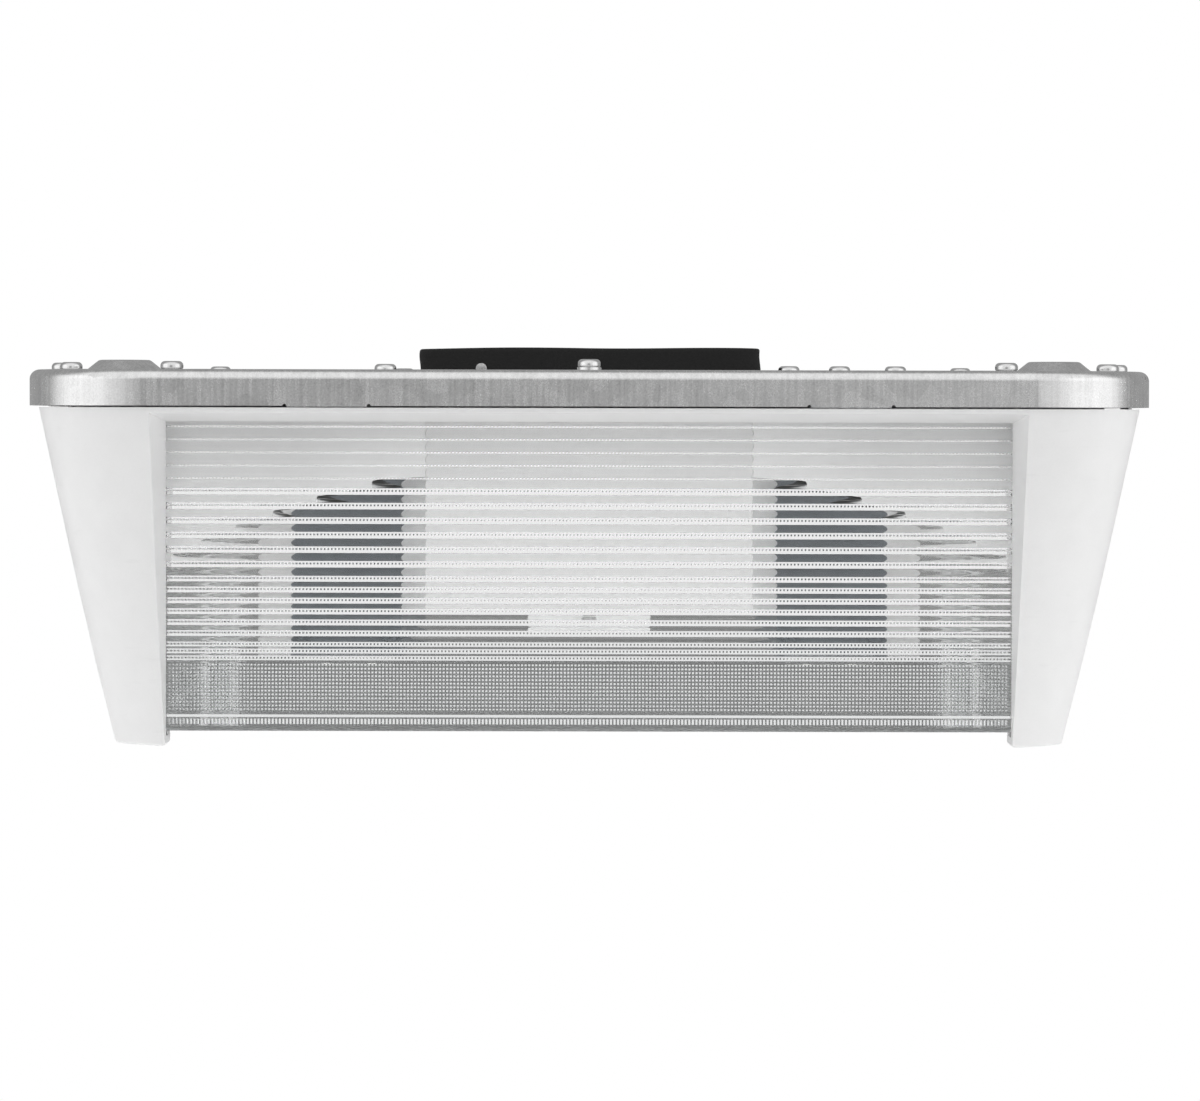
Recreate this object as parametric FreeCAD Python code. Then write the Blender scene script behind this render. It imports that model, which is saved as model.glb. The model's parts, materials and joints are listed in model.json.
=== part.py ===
import FreeCAD, Part
import math
import os

# A square ceiling-mount LED canopy light, in millimetres, +Z up. The origin is the centre of the pan's
# top face, where the light is bolted to its box. The front is -Y and the hinge side of the frame is +X.

V = FreeCAD.Vector
UP = V(0, 0, 1)

# General clearances
SHANK_CLEAR = 0.2  # a screw's shank in its hole, on the radius
SLIP = 0.3  # between pieces that are parted when the frame opens
REACH = 5.0  # how far a cutting tool runs past the piece that it cuts

# Pan
PAN_HALF = 203.2
PAN_CORNER = 44.0
PAN_EDGE = 3.5
SHEET = 1.2
FLANGE_DEPTH = 13.0
FOOT_INSET = 35.2  # from the pan's sides to the middle of a foot
FOOT_BASE_R = 13.6
FOOT_TOP_R = 9.2
FOOT_HEIGHT = 3.5
FOOT_ROUND = 2.2
TAB_PLACE = 93.0
TAB_WIDTH = 28.5
TAB_REACH = 13.2
TAB_DROP = 0.3
BEND_SHARE = 0.95  # a full round, just short of the face that it would swallow
RELIEF_R = 0.7
BOX_CIRCLE_R = 44.45
BOX_HOLE_R = 2.6
HUB_R = 11.1
STUD_R = 2.0
STUD_LENGTH = 10.0

# Foam gasket and wire bushing on the pan
FOAM_HALF = 65.5
FOAM_WALL = 12.0
FOAM_HEIGHT = 10.0
FOAM_CORNER = 8.0
BUSH_BORE_R = 8.0
BUSH_BODY_R = 10.9
BUSH_RIM_R = 13.5
BUSH_RIM = 1.5
BUSH_LENGTH = 6.5

# Screws
HEAD_R = 4.1
HEAD_HEIGHT = 2.9
HEAD_ROUND = 1.6
UNDER_SHARE = 0.45  # how much smaller the round under a head is than the one on top
SHANK_R = 1.8
SMALL_HEAD_R = 2.9
SMALL_HEAD_HEIGHT = 1.9
SMALL_HEAD_ROUND = 1.0
SMALL_SHANK_R = 1.4
DRIVE_R = 1.5
DRIVE_WIDTH = 0.9
DRIVE_DEPTH = 1.0
WASHER_R = 4.4
WASHER_THICKNESS = 1.0
SCREW_LENGTH = 8.0
SMALL_SCREW_LENGTH = 6.0
NUT_R = 4.0
NUT_HEIGHT = 3.2

# Places of the screws that come through the pan, as insets from the sides of what they hold
CORNER_SCREW_INSETS = [(54.2, 13.7), (13.7, 54.2), (8.2, 75.2)]
SIDE_SCREW_INSET = 13.7
HOUSING_SCREW_OUT = 6.5
HOUSING_SCREW_END = 12.0
HOUSING_SCREW_NEAR = 60.0
SURGE_GAP = 6.0
SURGE_SPACING = 21.5
SURGE_Y = -60.0
REFLECTOR_SCREW_INSET = 13.0
RIVET_X = 39.5
RIVET_R = 2.0
RIVET_HEIGHT = 2.8
RIVET_SHANK_R = 1.5

# Gussets and guides between the pan's rim and the frame's collar
GUSSET_THICKNESS = 1.5
GUSSET_INSET = 85.2  # from the pan's sides to the gusset's ends
RIM_GAP = 1.0
GUIDE_WIDTH = 24.0
GUIDE_DROP = 7.5
GUIDE_GAP = 1.5

# Lens frame
FRAME_INSET = 3.2  # the frame's top behind the pan's sides
FRAME_LEAN = 24.0  # how far each side leans in from top to bottom
FRAME_CORNER_STEP = 2.0  # the frame's top corner radius under the pan's
FRAME_CORNER_LEAN = 4.0
FRAME_BOTTOM = -136.0
FOOT_LIP = 3.4
RAIL = 5.1  # height of the top rail over a window
WINDOW_DRAFT = 6.5
POST_FOOT = 5.0  # thickness of a post's foot in front of the refractor
POST_COVER = 18.0  # how far a post reaches over the refractor's face
POST_WALL = 2.5
POCKET_RISE = 36.0
COLLAR_CORNER = 10.5
COLLAR_WALL = 2.3
FRAME_SEAL = 2.9
FRAME_EDGE_ROUND = 1.2

# Refractor tray
LENS_CORNER_STEP = 8.0  # the refractor's corner radius under the frame's
LENS_WALL = 3.0
LENS_FLANGE = 2.5
LENS_GAP = 0.8
LENS_FLANGE_WIDTH = 11.4
LENS_FLANGE_PROUD = 0.5
LENS_EDGE_ROUND = 1.5
PAD = 2.0
SEAL = 1.0

# Clips that hold the refractor's flange down
CLIP_PLACE = 70.0
CLIP_WIDTH = 16.0
CLIP_SHEET = 1.2
CLIP_RISE = 6.5
CLIP_REACH = 9.0

# Hinge on the right and captive screws on the left
KNUCKLE_R = 3.0
KNUCKLE_LENGTH = 8.0
KNUCKLE_GAP = 0.5
KNUCKLE_ROOM = 1.2
HINGE_DROP = 4.0
PIN_R = 1.5
PIN_CLEAR = 0.05
PIN_HEAD_R = 2.4
PIN_HEAD = 0.8
CAPTIVE_INSET = 8.2
CAPTIVE_R = 2.0
CAPTIVE_CLEAR = 0.4
CAPTIVE_HEAD_R = 4.0
CAPTIVE_HEAD = 4.5
CAPTIVE_BOSS_R = 5.5
CAPTIVE_BOSS_DROP = 1.2
CAPTIVE_SLOT = 1.2
CAPTIVE_REACH = 6.0
STRIKE_R = 4.2
STRIKE_HEIGHT = 4.0

# Gear housing in the middle
HOUSING_FACE_HALF = 60.0
HOUSING_HALF = 70.0
HOUSING_SETBACK = 25.0  # from the refractor's face to the housing's
HOUSING_BEVEL = 26.0
HOUSING_BOTTOM = -89.3
HOUSING_SHEET = 1.0
HOUSING_FLANGE = 12.0
HATCH_HALF_X = 20.0
HATCH_MARGIN = 15.0
COVER_LAP_X = 3.0
COVER_LAP_Y = 7.0
COVER_DEPTH = 8.0
COVER_TAB = 12.0
COVER_TAB_HALF = 8.0

# Reflector wings
VAULT_R = 342.0
VAULT_APEX = -32.0
WING_SHEET = 1.0
WING_SETBACK = 11.0  # from the refractor's side to the wing's
WING_STEP = 0.2  # the wing's ends behind the housing's face
WING_END_GAP = 0.12  # from the wing's ends to the housing's bevel
WING_GAP = 1.0
WING_FLANGE = 23.0
WING_FLANGE_HALF = 20.0

# Light bars beside the housing
BAR_WIDTH = 41.0
BAR_DROP = 16.7  # the bar's floor below the housing's
BAR_WALL = 2.5
BAR_VAULT_GAP = 1.6
SIDE_LENS_WIDTH = 12.3
SIDE_LENS_WALL = 2.0
CAP = 2.0
PORT_R = 3.2
PORT_INSET = 4.5
BOARD = 1.6
BOARD_SIDE_GAP = 4.0
BOARD_END_GAP = 5.0
CHIP = 3.0
CHIP_HEIGHT = 0.8
CHIP_PITCH = 16.0
CHIP_ROW = 8.5
BOARD_SCREW_PITCH = 64.0
BAR_SCREW_INSET = 28.0
BAR_SCREW_RISE = 17.3

# Gear inside the housing and above the right wing
DRIVER_HALF_X = 48.0
DRIVER_LENGTH = 84.0
DRIVER_END_GAP = 10.0
DRIVER_HEIGHT = 42.0
DRIVER_BASE = 1.5
DRIVER_EAR_X = 60.0
DRIVER_EAR_INSET = 6.0
DRIVER_STUD_INSET = 23.0
DRIVER_ROUND = 2.0
TERMINAL_SETBACK = 46.0
TERMINAL_HALF_X = 22.0
TERMINAL_HALF_Y = 10.0
TERMINAL_HEIGHT = 17.0
TERMINAL_EAR = 12.0
TERMINAL_BASE = 3.0
TERMINAL_WAYS = 3
TERMINAL_PITCH = 13.0
SURGE_BASE = 2.0
SURGE_MARGIN = 8.0
SURGE_HALF_Y = 12.0
SURGE_HEIGHT = 23.0
LEAD_R = 1.2
LEAD_DEPTH = 13.0
LEAD_PITCH = 6.0
SURGE_LEAD_END = 55.0
OUTPUT_X = 36.0
OUTPUT_INSET = 8.0
OUTPUT_DROP = 6.0
OUTPUT_BEND = 12.0
PLUG_BACK = 6.0
PLUG_FRONT = 6.0
PLUG_HALF_Y = 6.0
PLUG_HALF_Z = 4.0
GROUND_PLACE = (-40.0, 8.0)

# Levels and lines that follow from the sizes above
PAN_UNDER = -SHEET
TAB_BOTTOM = -FLANGE_DEPTH - TAB_DROP
FOOT_PLACE = PAN_HALF - FOOT_INSET
CORNER_SCREWS = [(PAN_HALF - x, PAN_HALF - y) for x, y in CORNER_SCREW_INSETS]
SIDE_SCREW_PLACE = PAN_HALF - SIDE_SCREW_INSET
GUSSET_START = PAN_HALF - GUSSET_INSET
FRAME_TOP = TAB_BOTTOM - SLIP
FRAME_TOP_HALF = PAN_HALF - FRAME_INSET
FRAME_TOP_CORNER = PAN_CORNER - FRAME_CORNER_STEP
FRAME_BOTTOM_HALF = FRAME_TOP_HALF - FRAME_LEAN
FRAME_BOTTOM_CORNER = FRAME_TOP_CORNER - FRAME_CORNER_LEAN
FOOT_LIP_TOP = FRAME_BOTTOM + FOOT_LIP
POCKET_FLOOR = FRAME_BOTTOM + POCKET_RISE
LENS_HALF = FRAME_BOTTOM_HALF - POST_FOOT
LENS_CORNER = FRAME_BOTTOM_CORNER - LENS_CORNER_STEP
LENS_BOTTOM = FOOT_LIP_TOP + PAD
LENS_FLANGE_HALF = LENS_HALF + LENS_FLANGE_WIDTH
LENS_FLANGE_TOP = FRAME_TOP + LENS_FLANGE_PROUD
LENS_FLANGE_BOTTOM = LENS_FLANGE_TOP - LENS_FLANGE
LENS_SEAT = LENS_FLANGE_BOTTOM - SEAL
WINDOW_HALF = LENS_HALF - POST_COVER
WINDOW_TOP = FRAME_TOP - RAIL
COLLAR_TOP = PAN_UNDER - SLIP - FRAME_SEAL
COLLAR_INNER = LENS_FLANGE_HALF + LENS_GAP
COLLAR_HALF = COLLAR_INNER + COLLAR_WALL
RIM_INNER = COLLAR_HALF + GUIDE_GAP
RIM_OUTER = PAN_HALF - SHEET - RIM_GAP
HINGE_X = PAN_HALF - KNUCKLE_R
HINGE_Z = -FLANGE_DEPTH - HINGE_DROP
CAPTIVE_X = CAPTIVE_INSET - PAN_HALF
BOSS_BOTTOM = WINDOW_TOP + CAPTIVE_BOSS_DROP
HOUSING_FRONT = LENS_HALF - HOUSING_SETBACK
HOUSING_SHOULDER = HOUSING_FRONT - HOUSING_BEVEL
HOUSING_SCREW_X = HOUSING_HALF + HOUSING_SCREW_OUT
HOUSING_SCREW_FAR = HOUSING_SHOULDER - HOUSING_SCREW_END
HOUSING_SCREWS = [
    (-HOUSING_SCREW_X, -HOUSING_SCREW_FAR), (HOUSING_SCREW_X, -HOUSING_SCREW_NEAR),
    (-HOUSING_SCREW_X, HOUSING_SCREW_NEAR), (HOUSING_SCREW_X, HOUSING_SCREW_FAR),
]
HATCH_HALF_Y = HOUSING_SHOULDER - HATCH_MARGIN
COVER_HALF_X = HATCH_HALF_X + COVER_LAP_X
COVER_HALF_Y = HATCH_HALF_Y + COVER_LAP_Y
VAULT_CENTRE = VAULT_APEX - VAULT_R
WING_OUTER = LENS_HALF - WING_SETBACK
WING_FRONT = HOUSING_FRONT - WING_STEP
REFLECTOR_SCREW_X = WING_OUTER - REFLECTOR_SCREW_INSET
BAR_OUTER = HOUSING_HALF + BAR_WIDTH
BAR_BOTTOM = HOUSING_BOTTOM - BAR_DROP
BAR_HALF_LENGTH = HOUSING_SHOULDER - CAP
BAR_SCREW_Y = BAR_HALF_LENGTH - BAR_SCREW_INSET
BAR_SCREW_Z = HOUSING_BOTTOM + BAR_SCREW_RISE
BOARD_X = (HOUSING_HALF + BAR_OUTER) / 2
BOARD_HALF_LENGTH = BAR_HALF_LENGTH - BOARD_END_GAP
CHIP_COUNT = int((2 * BOARD_HALF_LENGTH - CHIP) / CHIP_PITCH) + 1
DRIVER_Y = (HOUSING_FRONT - DRIVER_END_GAP - DRIVER_LENGTH, HOUSING_FRONT - DRIVER_END_GAP)
DRIVER_STUD_X = DRIVER_EAR_X - DRIVER_EAR_INSET
DRIVER_STUD_Y = (DRIVER_Y[0] + DRIVER_STUD_INSET, DRIVER_Y[1] - DRIVER_STUD_INSET)
STUDS = [(x, y) for x in (-DRIVER_STUD_X, DRIVER_STUD_X) for y in DRIVER_STUD_Y]
OUTPUT_Y = DRIVER_Y[0] + OUTPUT_INSET
TERMINAL_Y = TERMINAL_SETBACK - HOUSING_FRONT
TERMINAL_STUD_X = TERMINAL_HALF_X + TERMINAL_EAR / 2
TERMINAL_STUDS = [(-TERMINAL_STUD_X, TERMINAL_Y), (TERMINAL_STUD_X, TERMINAL_Y)]
SURGE_X = HOUSING_HALF + HOUSING_FLANGE + SURGE_GAP + SURGE_MARGIN
SURGE_SCREWS = [(SURGE_X, SURGE_Y), (SURGE_X + SURGE_SPACING, SURGE_Y)]


def box(x, y, z):
    """A block between two limits on each axis."""
    corner = V(min(x), min(y), min(z))
    return Part.makeBox(abs(x[1] - x[0]), abs(y[1] - y[0]), abs(z[1] - z[0]), corner)


def rod(radius, x, y, z):
    """An upright round bar between two heights."""
    return Part.makeCylinder(radius, abs(z[1] - z[0]), V(x, y, min(z)))


def rod_y(radius, x, y, z):
    """A round bar along Y."""
    return Part.makeCylinder(radius, abs(y[1] - y[0]), V(x, min(y), z), V(0, 1, 0))


def rod_x(radius, x, y, z):
    """A round bar along X."""
    return Part.makeCylinder(radius, abs(x[1] - x[0]), V(min(x), y, z), V(1, 0, 0))


def turned(shape, quarters):
    """A copy turned about Z by quarter turns, front to right to rear to left."""
    return shape.rotated(V(), UP, 90 * quarters)


def mirrored(shape):
    """A copy mirrored from right to left."""
    return shape.mirror(V(), V(1, 0, 0))


def all_corners(places):
    """Each place of one corner, mirrored to the four corners."""
    return [(sx * x, sy * y) for x, y in places for sx in (-1, 1) for sy in (-1, 1)]


def union(shapes):
    """One solid from pieces that overlap."""
    return shapes[0].multiFuse(shapes[1:]).removeSplitter()


def group(shapes):
    """Separate solids that share a node."""
    return Part.makeCompound(shapes)


def square_wire(half, radius, z):
    """The outline of a square with round corners, centred on Z."""
    flat = half - radius
    mid = flat + radius * math.sqrt(0.5)
    edges = []
    for quarter in range(4):
        start, end = V(half, -flat, z), V(half, flat, z)
        side = Part.makeLine(start, end)
        corner = Part.Arc(end, V(mid, mid, z), V(flat, half, z)).toShape()
        edges += [turned(side, quarter), turned(corner, quarter)]
    return Part.Wire(edges)


def square_prism(half, radius, z):
    """A straight square block with round corners between two heights."""
    low, high = min(z), max(z)
    return Part.Face(square_wire(half, radius, low)).extrude(V(0, 0, high - low))


def square_taper(low_half, low_radius, low, high_half, high_radius, high):
    """A square block with round corners that grows evenly from one height to another."""
    wires = [square_wire(low_half, low_radius, low), square_wire(high_half, high_radius, high)]
    return Part.makeLoft(wires, True, True)


def level_edges(shape, z):
    """The edges that lie flat at one height."""
    return [e for e in shape.Edges if abs(e.BoundBox.ZMin - z) < 1e-4 and abs(e.BoundBox.ZMax - z) < 1e-4]


def frame_half(z):
    """Half the frame's outer width at a height."""
    share = (z - FRAME_BOTTOM) / (FRAME_TOP - FRAME_BOTTOM)
    return FRAME_BOTTOM_HALF + share * (FRAME_TOP_HALF - FRAME_BOTTOM_HALF)


def screw(x, y, seat, head=(HEAD_R, HEAD_HEIGHT, HEAD_ROUND), shank_r=SHANK_R, length=SCREW_LENGTH):
    """A pan-head screw that points down, with a cross recess, its head seated at a height."""
    head_r, height, rounding = head
    top = seat + height
    cap = rod(head_r, 0, 0, (seat, top))
    cap = cap.makeFillet(rounding, level_edges(cap, top))
    cap = cap.makeFillet(rounding * UNDER_SHARE, level_edges(cap, seat))
    for along_x in (DRIVE_R, DRIVE_WIDTH / 2):
        along_y = DRIVE_R + DRIVE_WIDTH / 2 - along_x
        cap = cap.cut(box((-along_x, along_x), (-along_y, along_y), (top - DRIVE_DEPTH, top + REACH)))
    shank = rod(shank_r, 0, 0, (seat - length, seat))
    return union([cap, shank]).translated(V(x, y, 0))


def small_screw():
    """A small pan-head screw at the origin, pointing down."""
    head = (SMALL_HEAD_R, SMALL_HEAD_HEIGHT, SMALL_HEAD_ROUND)
    return screw(0, 0, 0, head, SMALL_SHANK_R, SMALL_SCREW_LENGTH)


def placed_small_screw(point, way):
    """A small screw with its head seated at a point and its shank along a direction."""
    turn = FreeCAD.Rotation(V(0, 0, -1), way)
    piece = small_screw()
    piece.Placement = FreeCAD.Placement(point, turn)
    return piece


def drill(shape, places, radius, z):
    """Round upright holes through a shape."""
    return shape.cut(group([rod(radius, x, y, z) for x, y in places]))


def pan_holes():
    """Every screw that comes through the pan's top, as (x, y)."""
    reflectors = [(-REFLECTOR_SCREW_X, 0), (REFLECTOR_SCREW_X, 0)]
    gear = HOUSING_SCREWS + SURGE_SCREWS + reflectors + [GROUND_PLACE]
    return all_corners(CORNER_SCREWS) + side_places() + gear


def rivet_places():
    """One rivet through the housing's front flange and one through its rear flange, set cornerwise."""
    y = HOUSING_FRONT + HOUSING_FLANGE / 2
    return [(RIVET_X, y), (-RIVET_X, -y)]


def stand_off_foot(x, y):
    """The drawn foot's outer and inner cones."""
    inset = SHEET * math.sin(math.atan2(FOOT_HEIGHT, FOOT_BASE_R - FOOT_TOP_R))
    outer = Part.makeCone(FOOT_BASE_R, FOOT_TOP_R, FOOT_HEIGHT, V(x, y, 0))
    outer = outer.makeFillet(FOOT_ROUND, level_edges(outer, FOOT_HEIGHT))
    inner = Part.makeCone(FOOT_BASE_R - inset, FOOT_TOP_R - inset, FOOT_HEIGHT, V(x, y, PAN_UNDER))
    return outer, inner


def bent_tab(centre):
    """A tab turned in from the front flange's lower edge."""
    x = (centre - TAB_WIDTH / 2, centre + TAB_WIDTH / 2)
    tab = box(x, (-PAN_HALF, TAB_REACH - PAN_HALF), (TAB_BOTTOM, TAB_BOTTOM + SHEET))
    bend = [e for e in level_edges(tab, TAB_BOTTOM) if e.BoundBox.YMax < -PAN_HALF + 1e-4]
    return tab.makeFillet(SHEET * BEND_SHARE, bend)


def relief_notches(centre):
    """Half-round notches in the front flange at both ends of a tab."""
    offset = TAB_WIDTH / 2 + RELIEF_R
    y = (-PAN_HALF - REACH, 2 * SHEET - PAN_HALF)
    return [rod_y(RELIEF_R, centre + side * offset, y, -FLANGE_DEPTH) for side in (-1, 1)]


def hinge_ear(centre):
    """The strip and knuckle that hang from the right flange."""
    y = (centre - TAB_WIDTH / 2, centre + TAB_WIDTH / 2)
    strip = box((PAN_HALF - SHEET, PAN_HALF), y, (HINGE_Z, -FLANGE_DEPTH + SHEET))
    knuckle = rod_y(KNUCKLE_R, HINGE_X, y, HINGE_Z)
    return union([strip, knuckle]).cut(rod_y(PIN_R + PIN_CLEAR, HINGE_X, y, HINGE_Z))


def top_pan():
    """The pan: a drawn sheet with a flange, feet, tabs, hinge ears, holes and weld studs."""
    outer = square_prism(PAN_HALF, PAN_CORNER, (-FLANGE_DEPTH, 0))
    outer = outer.makeFillet(PAN_EDGE, level_edges(outer, 0))
    inner = square_prism(PAN_HALF - SHEET, PAN_CORNER - SHEET, (-FLANGE_DEPTH - REACH, PAN_UNDER))
    inner = inner.makeFillet(PAN_EDGE - SHEET, level_edges(inner, PAN_UNDER))
    pan = outer.cut(inner)
    added, cuts = [], []
    for x, y in all_corners([(FOOT_PLACE, FOOT_PLACE)]):
        cone, hollow = stand_off_foot(x, y)
        added.append(cone)
        cuts.append(hollow)
    for centre in (-TAB_PLACE, TAB_PLACE):
        added += [turned(bent_tab(centre), quarter) for quarter in (0, 2, 3)]
        cuts += [turned(notch, quarter) for notch in relief_notches(centre) for quarter in range(4)]
        added.append(hinge_ear(centre))
        through = (TAB_BOTTOM - REACH, TAB_BOTTOM + REACH)
        cuts.append(rod(CAPTIVE_R + CAPTIVE_CLEAR, CAPTIVE_X, centre, through))
    studs = STUDS + TERMINAL_STUDS
    added += [rod(STUD_R, x, y, (PAN_UNDER - STUD_LENGTH, PAN_UNDER + SHEET / 2)) for x, y in studs]
    pan = union([pan] + added).cut(group(cuts))
    through = (-REACH, REACH)
    pan = drill(pan, pan_holes(), SHANK_R + SHANK_CLEAR, through)
    pan = drill(pan, rivet_places(), RIVET_SHANK_R + SHANK_CLEAR, through)
    box_place = BOX_CIRCLE_R * math.sqrt(0.5)
    pan = drill(pan, all_corners([(box_place, box_place)]), BOX_HOLE_R, through)
    return drill(pan, [(0, 0)], HUB_R, through)


def mounting_gasket():
    """The foam ring that seals the pan against the ceiling round the wiring entry."""
    ring = square_prism(FOAM_HALF, FOAM_CORNER, (0, FOAM_HEIGHT))
    return ring.cut(square_prism(FOAM_HALF - FOAM_WALL, FOAM_CORNER / 2, (-REACH, FOAM_HEIGHT + REACH)))


def wire_bushing():
    """The plastic bushing in the pan's centre hole."""
    body = rod(BUSH_BODY_R, 0, 0, (BUSH_RIM - BUSH_LENGTH, BUSH_RIM))
    rim = rod(BUSH_RIM_R, 0, 0, (0, BUSH_RIM))
    return union([body, rim]).cut(rod(BUSH_BORE_R, 0, 0, (-BUSH_LENGTH - REACH, REACH)))


def side_places():
    """The middle of each side, where a screw holds a frame guide."""
    return [(0, -SIDE_SCREW_PLACE), (SIDE_SCREW_PLACE, 0), (0, SIDE_SCREW_PLACE), (-SIDE_SCREW_PLACE, 0)]


def lock_washer(x, y):
    """A washer under a side screw."""
    ring = rod(WASHER_R, x, y, (0, WASHER_THICKNESS))
    return ring.cut(rod(SHANK_R + SHANK_CLEAR, x, y, (-REACH, REACH)))


def housing_rivet(x, y):
    """A blind rivet: dome head above the pan and a swollen tail below the housing's flange."""
    dome = rod(RIVET_R, x, y, (0, RIVET_HEIGHT))
    dome = dome.makeFillet(RIVET_R * BEND_SHARE, level_edges(dome, RIVET_HEIGHT))
    tail_top = PAN_UNDER - HOUSING_SHEET
    shank = rod(RIVET_SHANK_R, x, y, (tail_top - RIVET_R, RIVET_HEIGHT / 3))
    tail = rod(RIVET_R, x, y, (tail_top - RIVET_R, tail_top))
    return union([dome, shank, tail])


def corner_gusset():
    """A flat stiffener under the pan's rim at the front right corner."""
    z = (PAN_UNDER - GUSSET_THICKNESS, PAN_UNDER)
    corner = PAN_CORNER - SHEET - RIM_GAP
    ring = square_prism(RIM_OUTER - PAN_EDGE, corner - PAN_EDGE, z)
    ring = ring.cut(square_prism(RIM_INNER, COLLAR_CORNER + GUIDE_GAP, (z[0] - REACH, z[1] + REACH)))
    far = PAN_HALF + REACH
    piece = ring.common(box((GUSSET_START, far), (-far, -GUSSET_START), z))
    places = [(x, -y) for x, y in CORNER_SCREWS]
    return drill(piece, places, SHANK_R + SHANK_CLEAR, (z[0] - REACH, z[1] + REACH))


def frame_guide():
    """An angle clip at the middle of the front side that centres the frame's collar."""
    x = (-GUIDE_WIDTH / 2, GUIDE_WIDTH / 2)
    bottom = PAN_UNDER - GUSSET_THICKNESS
    foot = box(x, (PAN_EDGE - RIM_OUTER, -RIM_INNER), (bottom, PAN_UNDER))
    leg = box(x, (-RIM_INNER - GUSSET_THICKNESS, -RIM_INNER), (bottom - GUIDE_DROP, PAN_UNDER))
    piece = union([foot, leg])
    slot = rod(SHANK_R + SHANK_CLEAR, 0, -SIDE_SCREW_PLACE, (bottom - SCREW_LENGTH - REACH, REACH))
    return piece.cut(slot)


def window_cutter():
    """The opening in the frame's front side: drafted outside the refractor, straight beside it."""
    out = FRAME_TOP_HALF + REACH
    grow = (out - LENS_HALF) * math.tan(math.radians(WINDOW_DRAFT))
    bottom = FRAME_BOTTOM - REACH
    across = (-WINDOW_HALF, WINDOW_HALF)
    straight = box(across, (-LENS_HALF, LENS_CORNER - LENS_HALF), (bottom, WINDOW_TOP))
    wires = []
    for y, more in ((-LENS_HALF, 0), (-out, grow)):
        half, top = WINDOW_HALF + more, WINDOW_TOP + more
        points = [V(-half, y, bottom), V(half, y, bottom), V(half, y, top), V(-half, y, top)]
        wires.append(Part.makePolygon(points + points[:1]))
    return union([straight, Part.makeLoft(wires, True, True)])


def post_pockets():
    """The hollows of the four posts, open at the top."""
    low = square_taper(
        frame_half(POCKET_FLOOR) - POST_WALL, FRAME_BOTTOM_CORNER - POST_WALL, POCKET_FLOOR,
        FRAME_TOP_HALF - POST_WALL, FRAME_TOP_CORNER - POST_WALL, FRAME_TOP,
    )
    wall = LENS_GAP + POST_WALL
    top = FRAME_TOP + REACH
    low = low.cut(square_prism(LENS_FLANGE_HALF + wall, COLLAR_CORNER, (LENS_SEAT - POST_WALL, top)))
    low = low.cut(square_prism(LENS_HALF + wall, LENS_CORNER + wall, (POCKET_FLOOR - REACH, top)))
    grow = (FRAME_TOP_HALF - LENS_HALF) * math.tan(math.radians(WINDOW_DRAFT))
    start, far = WINDOW_HALF + grow + POST_WALL, PAN_HALF + REACH
    corner = box((start, far), (-far, -start), (POCKET_FLOOR - REACH, top))
    return [low.common(turned(corner, quarter)) for quarter in range(4)]


def door_knuckles(centre):
    """The frame's two knuckles beside one of the pan's, and the room for the pan's."""
    knuckles, near = [], TAB_WIDTH / 2 + KNUCKLE_GAP
    for side in (-1, 1):
        y = (centre + side * near, centre + side * (near + KNUCKLE_LENGTH))
        knuckles.append(rod_y(KNUCKLE_R, HINGE_X, y, HINGE_Z))
    inner = HINGE_X - KNUCKLE_R - KNUCKLE_ROOM
    room = box((inner, PAN_HALF), (centre - near, centre + near), (HINGE_Z - REACH, FRAME_TOP + REACH))
    end = near + KNUCKLE_LENGTH + REACH
    bore = rod_y(PIN_R + PIN_CLEAR, HINGE_X, (centre - end, centre + end), HINGE_Z)
    heads = []
    for side in (-1, 1):
        y = (centre + side * (near + KNUCKLE_LENGTH), centre + side * end)
        heads.append(rod_y(PIN_HEAD_R + SLIP, HINGE_X, y, HINGE_Z))
    return knuckles, [room, bore] + heads


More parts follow.
